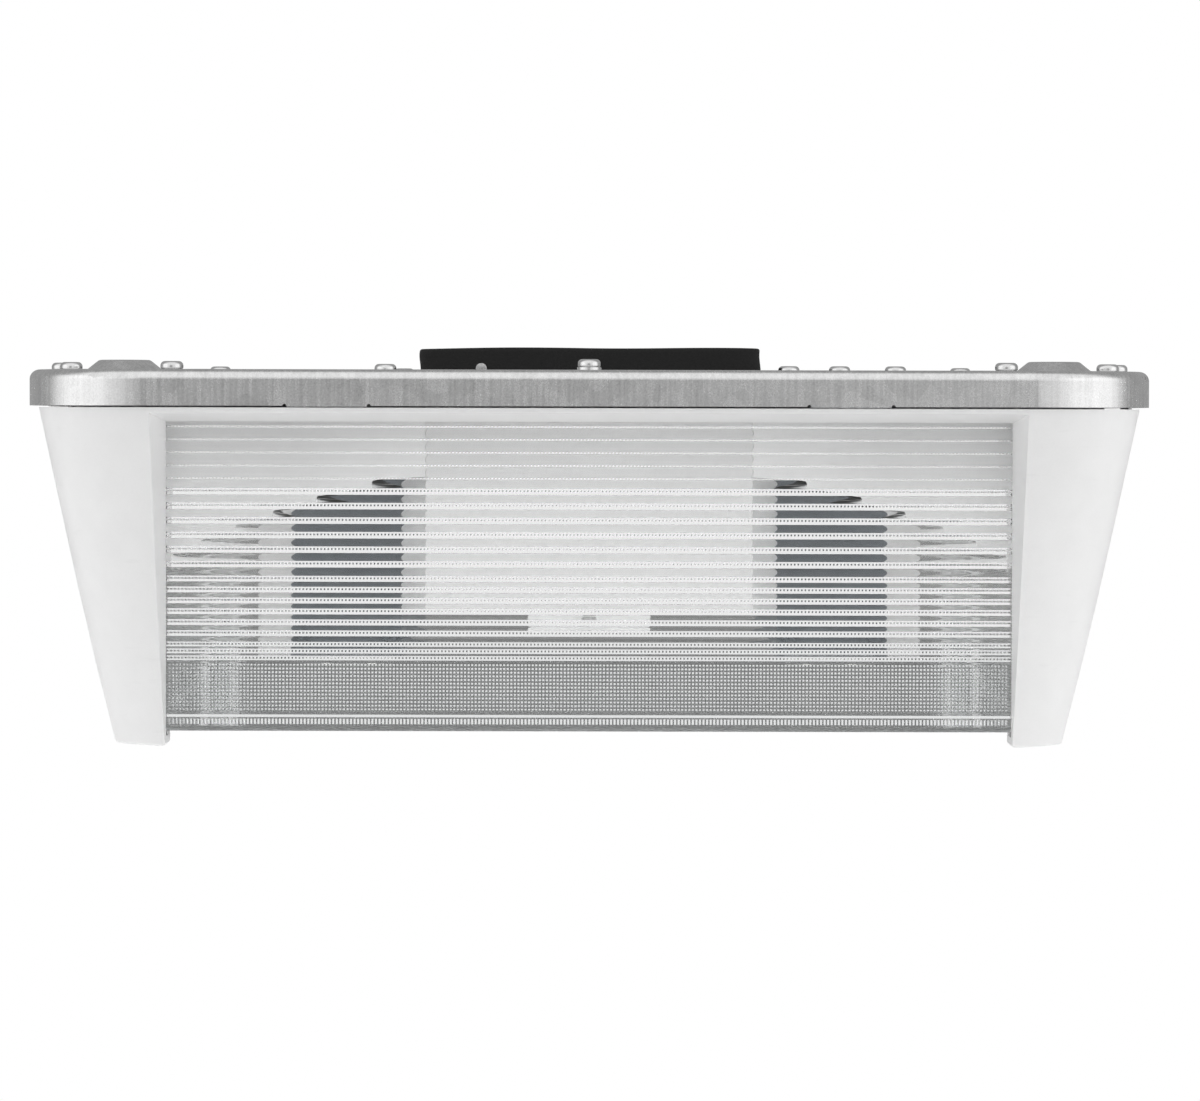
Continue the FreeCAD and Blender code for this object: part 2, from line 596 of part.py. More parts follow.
def lens_frame():
    """The white frame: a top rail with a collar, and four hollow posts that end in a lip."""
    block = square_taper(
        FRAME_BOTTOM_HALF, FRAME_BOTTOM_CORNER, FRAME_BOTTOM, FRAME_TOP_HALF, FRAME_TOP_CORNER, FRAME_TOP
    )
    top = FRAME_TOP + REACH
    block = block.cut(square_prism(LENS_HALF + LENS_GAP, LENS_CORNER + LENS_GAP, (FOOT_LIP_TOP, top)))
    inside = FRAME_BOTTOM_HALF + REACH
    lips = (FRAME_BOTTOM - REACH, FOOT_LIP_TOP)
    slots = [
        box((-WINDOW_HALF, WINDOW_HALF), (-inside, inside), lips),
        box((-inside, inside), (-WINDOW_HALF, WINDOW_HALF), lips),
    ]
    windows = [turned(window_cutter(), quarter) for quarter in range(4)]
    for window in windows + slots:
        block = block.cut(window)
    block = block.removeSplitter()
    block = block.makeFillet(FRAME_EDGE_ROUND, level_edges(block, FRAME_BOTTOM))
    block = block.cut(group(post_pockets()))
    collar = square_prism(COLLAR_HALF, COLLAR_CORNER, (LENS_SEAT, COLLAR_TOP))
    seat = square_prism(COLLAR_INNER, COLLAR_CORNER - COLLAR_WALL, (LENS_SEAT, COLLAR_TOP + REACH))
    added, cuts = [collar], [seat]
    for centre in (-TAB_PLACE, TAB_PLACE):
        knuckles, room = door_knuckles(centre)
        added += knuckles
        cuts += room
        added.append(rod(CAPTIVE_BOSS_R, CAPTIVE_X, centre, (BOSS_BOTTOM, FRAME_TOP)))
        cuts.append(rod(CAPTIVE_R + SHANK_CLEAR, CAPTIVE_X, centre, (BOSS_BOTTOM - REACH, top)))
    frame = union([block] + added)
    for cut in cuts:
        frame = frame.cut(cut)
    through = (-COLLAR_HALF - REACH, REACH - COLLAR_INNER)
    hole_r = SMALL_SHANK_R + SHANK_CLEAR
    holes = [rod_y(hole_r, x, through, clip_screw_z()) for x in (-CLIP_PLACE, CLIP_PLACE)]
    return frame.cut(group([turned(hole, quarter) for hole in holes for quarter in range(4)]))


def refractor():
    """The clear lens tray with its flange."""
    body = square_prism(LENS_HALF, LENS_CORNER, (LENS_BOTTOM, LENS_FLANGE_TOP))
    body = body.makeFillet(LENS_EDGE_ROUND, level_edges(body, LENS_BOTTOM))
    flange = square_prism(LENS_FLANGE_HALF, COLLAR_CORNER, (LENS_FLANGE_BOTTOM, LENS_FLANGE_TOP))
    hollow = square_prism(LENS_HALF - LENS_WALL, LENS_CORNER - LENS_WALL, (LENS_BOTTOM + LENS_WALL, REACH))
    return union([body, flange]).cut(hollow)


def lens_gasket():
    """The flat seal under the refractor's flange."""
    z = (LENS_SEAT, LENS_FLANGE_BOTTOM)
    ring = square_prism(LENS_FLANGE_HALF, COLLAR_CORNER, z)
    return ring.cut(square_prism(LENS_HALF + LENS_GAP, LENS_CORNER + LENS_GAP, (z[0] - REACH, z[1] + REACH)))


def lens_pads():
    """Soft pads between the refractor's corners and the lips of the posts."""
    half, corner_r = LENS_HALF - LENS_EDGE_ROUND, LENS_CORNER - LENS_EDGE_ROUND
    block = square_prism(half, corner_r, (FOOT_LIP_TOP, LENS_BOTTOM))
    start, far = WINDOW_HALF, LENS_HALF + REACH
    corner = box((start, far), (-far, -start), (FOOT_LIP_TOP - REACH, LENS_BOTTOM + REACH))
    return group([block.common(turned(corner, quarter)) for quarter in range(4)])


def frame_gasket():
    """The foam strip on top of the frame's collar, which meets the pan when the frame is shut."""
    z = (COLLAR_TOP, PAN_UNDER - SLIP)
    ring = square_prism(COLLAR_HALF, COLLAR_CORNER, z)
    inner = square_prism(COLLAR_INNER, COLLAR_CORNER - COLLAR_WALL, (z[0] - REACH, z[1] + REACH))
    return ring.cut(inner)


def clip_screw_z():
    """The height of the screws through the lens clips."""
    return LENS_FLANGE_TOP + CLIP_SHEET + CLIP_RISE / 2


def lens_clip(x):
    """An angle clip on the front collar that holds the refractor's flange."""
    across = (x - CLIP_WIDTH / 2, x + CLIP_WIDTH / 2)
    low, wall = LENS_FLANGE_TOP, -COLLAR_INNER
    leg = box(across, (wall, wall + CLIP_SHEET), (low, low + CLIP_RISE + CLIP_SHEET))
    foot = box(across, (wall, wall + CLIP_REACH), (low, low + CLIP_SHEET))
    hole = rod_y(SMALL_SHANK_R + SHANK_CLEAR, x, (wall - REACH, wall + CLIP_REACH), clip_screw_z())
    return union([leg, foot]).cut(hole)


def clip_screw(x):
    """The screw of a lens clip, from inside."""
    return placed_small_screw(V(x, CLIP_SHEET - COLLAR_INNER, clip_screw_z()), V(0, -1, 0))


def around_sides(make):
    """A piece made at two places of the front side, turned to all four sides."""
    return group([turned(make(x), quarter) for x in (-CLIP_PLACE, CLIP_PLACE) for quarter in range(4)])


def hinge_pin(centre):
    """A headed pin through one hinge."""
    end = TAB_WIDTH / 2 + KNUCKLE_GAP + KNUCKLE_LENGTH
    pin = rod_y(PIN_R, HINGE_X, (centre - end - PIN_HEAD / 2, centre + end + PIN_HEAD / 2), HINGE_Z)
    heads = []
    for side in (-1, 1):
        y = (centre + side * (end + SLIP), centre + side * (end + SLIP + PIN_HEAD))
        heads.append(rod_y(PIN_HEAD_R, HINGE_X, y, HINGE_Z))
    return union([pin] + heads)


def captive_screw(centre):
    """A slotted captive screw, its head under the frame's rail and its tip in the nut on the pan's tab."""
    head = rod(CAPTIVE_HEAD_R, CAPTIVE_X, centre, (BOSS_BOTTOM - SLIP - CAPTIVE_HEAD, BOSS_BOTTOM - SLIP))
    low = BOSS_BOTTOM - SLIP - CAPTIVE_HEAD
    head = head.makeChamfer(CAPTIVE_SLOT / 2, level_edges(head, low))
    across = (CAPTIVE_X - CAPTIVE_HEAD_R, CAPTIVE_X + CAPTIVE_HEAD_R)
    along = (centre - CAPTIVE_SLOT / 2, centre + CAPTIVE_SLOT / 2)
    slot = box(across, along, (low - REACH, low + CAPTIVE_SLOT))
    shank = rod(CAPTIVE_R, CAPTIVE_X, centre, (low + CAPTIVE_HEAD / 2, TAB_BOTTOM + CAPTIVE_REACH))
    return union([head.cut(slot), shank])


def strike_nut(centre):
    """The round clinch nut on top of a left tab."""
    z = (TAB_BOTTOM + SHEET, TAB_BOTTOM + SHEET + STRIKE_HEIGHT)
    nut = rod(STRIKE_R, CAPTIVE_X, centre, z)
    return nut.cut(rod(CAPTIVE_R + CAPTIVE_CLEAR, CAPTIVE_X, centre, (z[0] - REACH, z[1] + REACH)))


def housing_outline(inset, z):
    """The housing's eight-sided plan, drawn in by an inset."""
    slope = math.atan2(HOUSING_HALF - HOUSING_FACE_HALF, HOUSING_FRONT - HOUSING_SHOULDER)
    side, front = HOUSING_HALF - inset, HOUSING_FRONT - inset
    face = HOUSING_FACE_HALF - inset * (1 - math.sin(slope)) / math.cos(slope)
    shoulder = HOUSING_SHOULDER - inset * (1 - math.cos(slope)) / math.sin(slope)
    quarter = [(face, -front), (side, -shoulder)]
    right = quarter + [(x, -y) for x, y in reversed(quarter)]
    points = [V(x, y, z) for x, y in right + [(-x, -y) for x, y in right]]
    return Part.Face(Part.makePolygon(points + points[:1]))


def housing_side_holes():
    """Holes through the right side of the housing: light bar screws and the plug."""
    x = (HOUSING_HALF - 4 * HOUSING_SHEET, HOUSING_HALF + BAR_WALL + REACH)
    holes = [rod_x(SHANK_R + SHANK_CLEAR, x, y, BAR_SCREW_Z) for y in (-BAR_SCREW_Y, BAR_SCREW_Y)]
    gap = SHANK_CLEAR
    y = (OUTPUT_Y - PLUG_HALF_Y - gap, OUTPUT_Y + PLUG_HALF_Y + gap)
    z = output_end_z()
    holes.append(box(x, y, (z - PLUG_HALF_Z - gap, z + PLUG_HALF_Z + gap)))
    return holes


def gear_housing():
    """The white sheet housing in the middle, open to the pan, with a hatch in its floor."""
    depth = PAN_UNDER - HOUSING_BOTTOM
    shell = housing_outline(0, HOUSING_BOTTOM).extrude(V(0, 0, depth))
    hollow = housing_outline(HOUSING_SHEET, HOUSING_BOTTOM + HOUSING_SHEET).extrude(V(0, 0, depth))
    z = (PAN_UNDER - HOUSING_SHEET, PAN_UNDER)
    wide, long = HOUSING_HALF + HOUSING_FLANGE, HOUSING_FRONT + HOUSING_FLANGE
    flanges = [
        box((-wide, wide), (-HOUSING_SHOULDER, HOUSING_SHOULDER), z),
        box((-HOUSING_FACE_HALF, HOUSING_FACE_HALF), (-long, long), z),
    ]
    housing = union([shell] + flanges).cut(hollow)
    low = (HOUSING_BOTTOM - REACH, HOUSING_BOTTOM + REACH)
    housing = housing.cut(box((-HATCH_HALF_X, HATCH_HALF_X), (-HATCH_HALF_Y, HATCH_HALF_Y), low))
    flange_cut = (z[0] - REACH, REACH)
    housing = drill(housing, HOUSING_SCREWS, SHANK_R + SHANK_CLEAR, flange_cut)
    housing = drill(housing, rivet_places(), RIVET_SHANK_R + SHANK_CLEAR, flange_cut)
    housing = drill(housing, cover_screw_places(), SMALL_SHANK_R + SHANK_CLEAR, low)
    holes = housing_side_holes()
    housing = housing.cut(group(holes + [mirrored(hole) for hole in holes]))
    across = (SURGE_LEAD_END, HOUSING_HALF + REACH)
    leads = [rod_x(LEAD_R + SHANK_CLEAR, across, y, -LEAD_DEPTH) for y in surge_lead_rows()]
    return housing.cut(group(leads))


def cover_screw_places():
    """The two screws of the service cover."""
    y = COVER_HALF_Y + COVER_TAB / 2
    return [(0, -y), (0, y)]


def service_cover():
    """The shallow cover over the housing's hatch."""
    bottom = HOUSING_BOTTOM - COVER_DEPTH
    tray = box((-COVER_HALF_X, COVER_HALF_X), (-COVER_HALF_Y, COVER_HALF_Y), (bottom, HOUSING_BOTTOM))
    tray = tray.makeFillet(HOUSING_SHEET * 2, level_edges(tray, bottom))
    x, y = COVER_HALF_X - HOUSING_SHEET, COVER_HALF_Y - HOUSING_SHEET
    tabs = box(
        (-COVER_TAB_HALF, COVER_TAB_HALF), (-COVER_HALF_Y - COVER_TAB, COVER_HALF_Y + COVER_TAB),
        (HOUSING_BOTTOM - HOUSING_SHEET, HOUSING_BOTTOM),
    )
    cover = union([tray, tabs]).cut(box((-x, x), (-y, y), (bottom + HOUSING_SHEET, HOUSING_BOTTOM + REACH)))
    return drill(cover, cover_screw_places(), SMALL_SHANK_R + SHANK_CLEAR, (bottom, HOUSING_BOTTOM + REACH))


def vault_z(x, lift=0.0):
    """The height of the reflectors' curved underside, or of a surface lifted off it."""
    return VAULT_CENTRE + math.sqrt((VAULT_R + lift) ** 2 - x * x)


def vault_face(inner, outer, y):
    """The curved sheet's section between two distances from the middle plane."""
    low = [V(x, y, vault_z(x)) for x in (inner, (inner + outer) / 2, outer)]
    high = [V(x, y, vault_z(x, WING_SHEET)) for x in (outer, (inner + outer) / 2, inner)]
    edges = [
        Part.Arc(*low).toShape(), Part.makeLine(low[2], high[0]),
        Part.Arc(*high).toShape(), Part.makeLine(high[2], low[0]),
    ]
    return Part.Face(Part.Wire(edges))


def end_wall(y):
    """The upright end of the right reflector, with the arched lower edge."""
    inner = HOUSING_FACE_HALF
    arc = [V(x, y, vault_z(x)) for x in (inner, (inner + WING_OUTER) / 2, WING_OUTER)]
    tops = [V(WING_OUTER, y, PAN_UNDER), V(inner, y, PAN_UNDER)]
    edges = [Part.Arc(*arc).toShape(), Part.makeLine(arc[2], tops[0])]
    edges += [Part.makeLine(tops[0], tops[1]), Part.makeLine(tops[1], arc[0])]
    return Part.Face(Part.Wire(edges)).extrude(V(0, WING_SHEET, 0))


def reflector():
    """The right reflector: a curved sheet with a side wall, two end walls and a top flange."""
    inner = HOUSING_HALF + WING_GAP
    curve = vault_face(inner, WING_OUTER, -WING_FRONT).extrude(V(0, 2 * WING_FRONT, 0))
    side_z = (vault_z(WING_OUTER), PAN_UNDER)
    side = box((WING_OUTER - WING_SHEET, WING_OUTER), (-WING_FRONT, WING_FRONT), side_z)
    flange = box(
        (WING_OUTER - WING_FLANGE, WING_OUTER), (-WING_FLANGE_HALF, WING_FLANGE_HALF),
        (PAN_UNDER - WING_SHEET, PAN_UNDER),
    )
    wing = union([curve, side, flange, end_wall(-WING_FRONT), end_wall(WING_FRONT - WING_SHEET)])
    flange_room = HOUSING_HALF + HOUSING_FLANGE + WING_GAP
    notch = (PAN_UNDER - HOUSING_SHEET - SLIP, REACH)
    wing = wing.cut(box((0, flange_room), (-HOUSING_FRONT, HOUSING_FRONT), notch))
    housing_room = housing_outline(-WING_END_GAP, HOUSING_BOTTOM).extrude(V(0, 0, REACH - HOUSING_BOTTOM))
    wing = wing.cut(housing_room)
    return drill(wing, [(REFLECTOR_SCREW_X, 0)], SHANK_R + SHANK_CLEAR, (PAN_UNDER - REACH, REACH))


def bar_section(inset, y, inner=HOUSING_HALF, outer=BAR_OUTER):
    """The light bar's section: a sloped top under the reflector, upright sides and a flat floor."""
    tops = [vault_z(x) - BAR_VAULT_GAP for x in (inner, outer)]
    slope = math.atan2(tops[0] - tops[1], outer - inner)
    fall = math.tan(slope)
    drop = inset / math.cos(slope)
    left, right = inner + inset, outer - inset
    points = [
        V(left, y, tops[0] - drop - inset * fall), V(right, y, tops[1] - drop + inset * fall),
        V(right, y, BAR_BOTTOM + inset), V(left, y, BAR_BOTTOM + inset),
    ]
    return Part.Face(Part.makePolygon(points + points[:1]))


def port_places():
    """The screw ports in the bar's lower corners, as (x, z)."""
    z = BAR_BOTTOM + PORT_INSET
    return [(HOUSING_HALF + PORT_INSET, z), (BAR_OUTER - PORT_INSET, z)]


def led_bar():
    """The right light bar: a hollow extrusion with two screw ports."""
    length = V(0, 2 * BAR_HALF_LENGTH, 0)
    y = (-BAR_HALF_LENGTH, BAR_HALF_LENGTH)
    bar = bar_section(0, y[0]).extrude(length).cut(bar_section(BAR_WALL, y[0]).extrude(length))
    bar = union([bar] + [rod_y(PORT_R, x, y, z) for x, z in port_places()])
    holes = [rod_y(SMALL_SHANK_R + SHANK_CLEAR, x, y, z) for x, z in port_places()]
    below = (BAR_BOTTOM - REACH, BAR_BOTTOM + REACH)
    holes += [rod(SMALL_SHANK_R + SHANK_CLEAR, x, y_, below) for x, y_ in board_screw_places()]
    return bar.cut(group(holes + housing_side_holes()))


def side_lens():
    """The frosted channel along the right bar's outer side, closed at both ends."""
    half, outer = BAR_HALF_LENGTH + CAP, BAR_OUTER + SIDE_LENS_WIDTH
    shell = bar_section(0, -half, BAR_OUTER, outer).extrude(V(0, 2 * half, 0))
    inner_half = half - SIDE_LENS_WALL
    hollow = bar_section(SIDE_LENS_WALL, -inner_half, BAR_OUTER - SIDE_LENS_WALL, outer)
    return shell.cut(hollow.extrude(V(0, 2 * inner_half, 0)))


def bar_end_cap(front):
    """The flat plate on one end of the right bar."""
    start = -BAR_HALF_LENGTH - CAP if front else BAR_HALF_LENGTH
    cap = bar_section(0, start).extrude(V(0, CAP, 0))
    y = (start - REACH, start + CAP + REACH)
    return cap.cut(group([rod_y(SMALL_SHANK_R + SHANK_CLEAR, x, y, z) for x, z in port_places()]))


def end_cap_screws():
    """Two screws in each end cap of the right bar."""
    out = BAR_HALF_LENGTH + CAP
    pieces = []
    for x, z in port_places():
        pieces.append(placed_small_screw(V(x, -out, z), V(0, 1, 0)))
        pieces.append(placed_small_screw(V(x, out, z), V(0, -1, 0)))
    return pieces


def board_screw_places():
    """Screws along the middle of the right LED board."""
    return [(BOARD_X, BOARD_SCREW_PITCH * step) for step in (-1, 0, 1)]


def led_board():
    """The white circuit board under the right bar."""
    x = (HOUSING_HALF + BOARD_SIDE_GAP, BAR_OUTER - BOARD_SIDE_GAP)
    y = (-BOARD_HALF_LENGTH, BOARD_HALF_LENGTH)
    board = box(x, y, (BAR_BOTTOM - BOARD, BAR_BOTTOM))
    through = (BAR_BOTTOM - REACH, BAR_BOTTOM + REACH)
    return drill(board, board_screw_places(), SMALL_SHANK_R + SHANK_CLEAR, through)


def led_emitters():
    """Two rows of square emitters on the right board."""
    top, chips = BAR_BOTTOM - BOARD, []
    for row in (-1, 1):
        for step in range(CHIP_COUNT):
            x = BOARD_X + row * CHIP_ROW
            y = (step - (CHIP_COUNT - 1) / 2) * CHIP_PITCH
            half = CHIP / 2
            chips.append(box((x - half, x + half), (y - half, y + half), (top - CHIP_HEIGHT, top)))
    return group(chips)


def board_screws():
    """The screws that hold the right board, from below."""
    return [placed_small_screw(V(x, y, BAR_BOTTOM - BOARD), UP) for x, y in board_screw_places()]


def bar_screws():
    """Screws from inside the housing into the right bar."""
    head = (HEAD_R, HEAD_HEIGHT, HEAD_ROUND)
    pieces = []
    for y in (-BAR_SCREW_Y, BAR_SCREW_Y):
        piece = screw(0, 0, 0, head)
        turn = FreeCAD.Rotation(V(0, 0, -1), V(1, 0, 0))
        piece.Placement = FreeCAD.Placement(V(HOUSING_HALF - HOUSING_SHEET, y, BAR_SCREW_Z), turn)
        pieces.append(piece)
    return pieces


def led_driver():
    """The driver: a base plate on the pan's studs and a case with rounded edges."""
    y = DRIVER_Y
    base_top = PAN_UNDER - DRIVER_BASE
    base_y = (y[0] + DRIVER_EAR_INSET, y[1] - DRIVER_EAR_INSET)
    base = box((-DRIVER_EAR_X, DRIVER_EAR_X), base_y, (base_top, PAN_UNDER))
    case = box((-DRIVER_HALF_X, DRIVER_HALF_X), y, (base_top - DRIVER_HEIGHT, base_top))
    case = case.makeFillet(DRIVER_ROUND, level_edges(case, base_top - DRIVER_HEIGHT))
    return drill(union([base, case]), STUDS, STUD_R + SHANK_CLEAR, (base_top - REACH, REACH))


def hex_nut(x, y, top):
    """A hexagon nut under a stud, its top face at a height."""
    corners = [math.radians(60 * corner) for corner in range(7)]
    low = top - NUT_HEIGHT
    points = [V(x + NUT_R * math.cos(a), y + NUT_R * math.sin(a), low) for a in corners]
    nut = Part.Face(Part.makePolygon(points)).extrude(V(0, 0, NUT_HEIGHT))
    return nut.cut(rod(STUD_R + SHANK_CLEAR / 2, x, y, (top - NUT_HEIGHT - REACH, top + REACH)))


def stud_nuts():
    """The nuts on the pan's studs."""
    driver = [hex_nut(x, y, PAN_UNDER - DRIVER_BASE) for x, y in STUDS]
    terminal = [hex_nut(x, y, PAN_UNDER - TERMINAL_BASE) for x, y in TERMINAL_STUDS]
    return group(driver + terminal)


def terminal_block():
    """The supply terminals: a moulded block with ears and screw wells."""
    half = TERMINAL_HALF_X + TERMINAL_EAR
    y = (TERMINAL_Y - TERMINAL_HALF_Y, TERMINAL_Y + TERMINAL_HALF_Y)
    ears = box((-half, half), (TERMINAL_Y - TERMINAL_HALF_Y / 2, TERMINAL_Y + TERMINAL_HALF_Y / 2),
               (PAN_UNDER - TERMINAL_BASE, PAN_UNDER))
    bottom = PAN_UNDER - TERMINAL_HEIGHT
    block = box((-TERMINAL_HALF_X, TERMINAL_HALF_X), y, (bottom, PAN_UNDER))
    ways = [(step - (TERMINAL_WAYS - 1) / 2) * TERMINAL_PITCH for step in range(TERMINAL_WAYS)]
    wells = group([rod(DRIVE_R * 2, x, TERMINAL_Y, (bottom - REACH, bottom + TERMINAL_BASE)) for x in ways])
    block = union([block, ears]).cut(wells)
    return drill(block, TERMINAL_STUDS, STUD_R + SHANK_CLEAR, (PAN_UNDER - TERMINAL_BASE - REACH, REACH))


def surge_protector():
    """The surge protector, screwed up under the pan over the right reflector."""
    left, right = SURGE_X - SURGE_MARGIN, SURGE_X + SURGE_SPACING + SURGE_MARGIN
    y = (SURGE_Y - SURGE_HALF_Y, SURGE_Y + SURGE_HALF_Y)
    body = box((left, right), y, (PAN_UNDER - SURGE_BASE - SURGE_HEIGHT, PAN_UNDER))
    body = body.makeFillet(SURGE_BASE, level_edges(body, PAN_UNDER - SURGE_BASE - SURGE_HEIGHT))
    return drill(body, SURGE_SCREWS, SHANK_R + SHANK_CLEAR, (-SCREW_LENGTH - SURGE_BASE, REACH))


def surge_lead_rows():
    """The two places along Y of the surge protector's leads."""
    return [SURGE_Y - LEAD_PITCH / 2, SURGE_Y + LEAD_PITCH / 2]


def surge_leads():
    """Leads from the surge protector into the housing."""
    x = (SURGE_LEAD_END, SURGE_X - SURGE_MARGIN)
    return group([rod_x(LEAD_R, x, y, -LEAD_DEPTH) for y in surge_lead_rows()])


def supply_leads():
    """Leads from the terminals to the driver."""
    y = (TERMINAL_Y + TERMINAL_HALF_Y, DRIVER_Y[0])
    return group([rod_y(LEAD_R, BUSH_RIM_R + LEAD_PITCH * step, y, -LEAD_DEPTH) for step in range(2)])


def output_end_z():
    """The height where the driver's output leads reach the plugs."""
    return PAN_UNDER - DRIVER_BASE - DRIVER_HEIGHT - OUTPUT_DROP - OUTPUT_BEND


def output_lead():
    """The right output lead: down out of the driver, round a bend and across to the plug."""
    start = PAN_UNDER - DRIVER_BASE - DRIVER_HEIGHT
    bend_top, end_z = start - OUTPUT_DROP, output_end_z()
    corner = OUTPUT_BEND * (1 - math.sqrt(0.5))
    points = [V(OUTPUT_X, OUTPUT_Y, start), V(OUTPUT_X, OUTPUT_Y, bend_top),
              V(OUTPUT_X + corner, OUTPUT_Y, end_z + corner), V(OUTPUT_X + OUTPUT_BEND, OUTPUT_Y, end_z)]
    end = V(HOUSING_HALF - HOUSING_SHEET - PLUG_BACK, OUTPUT_Y, end_z)
    path = Part.Wire([
        Part.makeLine(points[0], points[1]), Part.Arc(*points[1:]).toShape(), Part.makeLine(points[3], end)
    ])
    section = Part.Wire(Part.makeCircle(LEAD_R, points[0], UP))
    return path.makePipeShell([section], True, False)


def bar_plug():
    """The right plug, through the housing's side into the light bar."""
    z = output_end_z()
    x = (HOUSING_HALF - HOUSING_SHEET - PLUG_BACK, HOUSING_HALF + BAR_WALL + PLUG_FRONT)
    return box(x, (OUTPUT_Y - PLUG_HALF_Y, OUTPUT_Y + PLUG_HALF_Y), (z - PLUG_HALF_Z, z + PLUG_HALF_Z))


def both(pieces):
    """Pieces of the right side and their mirror images, in one group."""
    return group(pieces + [mirrored(piece) for piece in pieces])


def all_parts():
    """Every node by name."""
    seat = WASHER_THICKNESS
    parts = {
        "top_pan": top_pan(),
        "mounting_gasket": mounting_gasket(),
        "wire_bushing": wire_bushing(),
        "pan_screws": group([screw(x, y, 0) for x, y in all_corners(CORNER_SCREWS)]),
        "side_screws": group([screw(x, y, seat) for x, y in side_places()]),
        "lock_washers": group([lock_washer(x, y) for x, y in side_places()]),
        "housing_screws": group([screw(x, y, 0) for x, y in HOUSING_SCREWS]),
        "surge_screws": group([screw(x, y, 0) for x, y in SURGE_SCREWS]),
        "reflector_screws": group([screw(x, 0, 0) for x in (-REFLECTOR_SCREW_X, REFLECTOR_SCREW_X)]),
        "housing_rivets": group([housing_rivet(x, y) for x, y in rivet_places()]),
        "ground_screw": screw(GROUND_PLACE[0], GROUND_PLACE[1], 0),
        "gear_housing": gear_housing(),
        "service_cover": service_cover(),
        "led_driver": led_driver(),
        "terminal_block": terminal_block(),
        "stud_nuts": stud_nuts(),
        "surge_protector": surge_protector(),
        "surge_leads": surge_leads(),
        "supply_leads": supply_leads(),
        "output_leads": both([output_lead()]),
        "bar_plugs": both([bar_plug()]),
        "bar_screws": both(bar_screws()),
        "board_screws": both(board_screws()),
        "end_cap_screws": both(end_cap_screws()),
        "lens_frame": lens_frame(),
        "refractor": refractor(),
        "lens_gasket": lens_gasket(),
        "lens_pads": lens_pads(),
        "frame_gasket": frame_gasket(),
        "lens_clips": around_sides(lens_clip),
        "clip_screws": around_sides(clip_screw),
    }
    cover_seat = HOUSING_BOTTOM - HOUSING_SHEET
    cover_screws = [placed_small_screw(V(x, y, cover_seat), UP) for x, y in cover_screw_places()]
    parts["cover_screws"] = group(cover_screws)
    for quarter, name in enumerate(("front_right", "rear_right", "rear_left", "front_left")):
        parts["corner_gusset_" + name] = corner_gusset_at(quarter)
    for quarter, name in enumerate(("front", "right", "rear", "left")):
        parts["frame_guide_" + name] = turned(frame_guide(), quarter)
    pairs = {
        "reflector": reflector(),
        "led_bar": led_bar(),
        "side_lens": side_lens(),
        "led_board": led_board(),
        "led_emitters": led_emitters(),
        "front_end_cap": bar_end_cap(True),
        "rear_end_cap": bar_end_cap(False),
    }
    for name, piece in pairs.items():
        parts[name + "_right"] = piece
        parts[name + "_left"] = mirrored(piece)
    for name, centre in (("front", -TAB_PLACE), ("rear", TAB_PLACE)):
        parts["hinge_pin_" + name] = hinge_pin(centre)
        parts["captive_screw_" + name] = captive_screw(centre)
        parts["strike_nut_" + name] = strike_nut(centre)
    return parts


def corner_gusset_at(quarter):
    """The gusset of one corner: the front right one, mirrored front to rear and right to left."""
    piece = corner_gusset()
    if quarter in (1, 2):
        piece = piece.mirror(V(), V(0, 1, 0))
    return mirrored(piece) if quarter in (2, 3) else piece


def main():
    """Write each node to its own file."""
    os.makedirs("parts", exist_ok=True)
    for name, shape in all_parts().items():
        solids = len(shape.Solids)
        print(name, "solids", solids, "valid", shape.isValid(), "volume", round(shape.Volume, 1))
        shape.exportStep(os.path.join("parts", name + ".step"))


main()
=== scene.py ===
import json
import logging
import math
from dataclasses import dataclass
from enum import Enum
from typing import Callable, Optional

import bmesh
import bpy
from mathutils import Euler, Matrix, Vector


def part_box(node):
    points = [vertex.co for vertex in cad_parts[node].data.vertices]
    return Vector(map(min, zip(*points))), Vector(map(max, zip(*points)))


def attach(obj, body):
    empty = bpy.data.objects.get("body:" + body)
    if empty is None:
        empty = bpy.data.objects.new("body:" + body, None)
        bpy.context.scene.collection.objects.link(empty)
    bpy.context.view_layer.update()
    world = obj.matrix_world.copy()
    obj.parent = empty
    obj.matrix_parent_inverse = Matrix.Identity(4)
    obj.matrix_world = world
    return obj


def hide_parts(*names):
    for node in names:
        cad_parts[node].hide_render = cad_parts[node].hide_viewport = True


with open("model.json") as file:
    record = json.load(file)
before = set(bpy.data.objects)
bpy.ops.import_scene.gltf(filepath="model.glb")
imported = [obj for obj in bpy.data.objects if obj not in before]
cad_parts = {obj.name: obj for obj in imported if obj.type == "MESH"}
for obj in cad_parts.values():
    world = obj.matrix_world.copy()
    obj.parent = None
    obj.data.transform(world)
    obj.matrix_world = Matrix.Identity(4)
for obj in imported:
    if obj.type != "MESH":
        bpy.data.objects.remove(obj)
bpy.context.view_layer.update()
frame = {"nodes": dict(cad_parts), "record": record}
MM = 0.001
LOG = logging.getLogger("canopy_light")

Pair = tuple[float, float]
Triple = tuple[float, float, float]
Colour = Triple
Socket = bpy.types.NodeSocket


def grey(level: float) -> Colour:
    """A neutral colour of one level."""
    return (level, level, level)


class Ride(Enum):
    """The bodies that a piece can move with."""

    CANOPY = "canopy"
    FRAME = "frame"


class Pick(Enum):
    """What edit mode selects."""

    EDGES = "EDGE"
    FACES = "FACE"


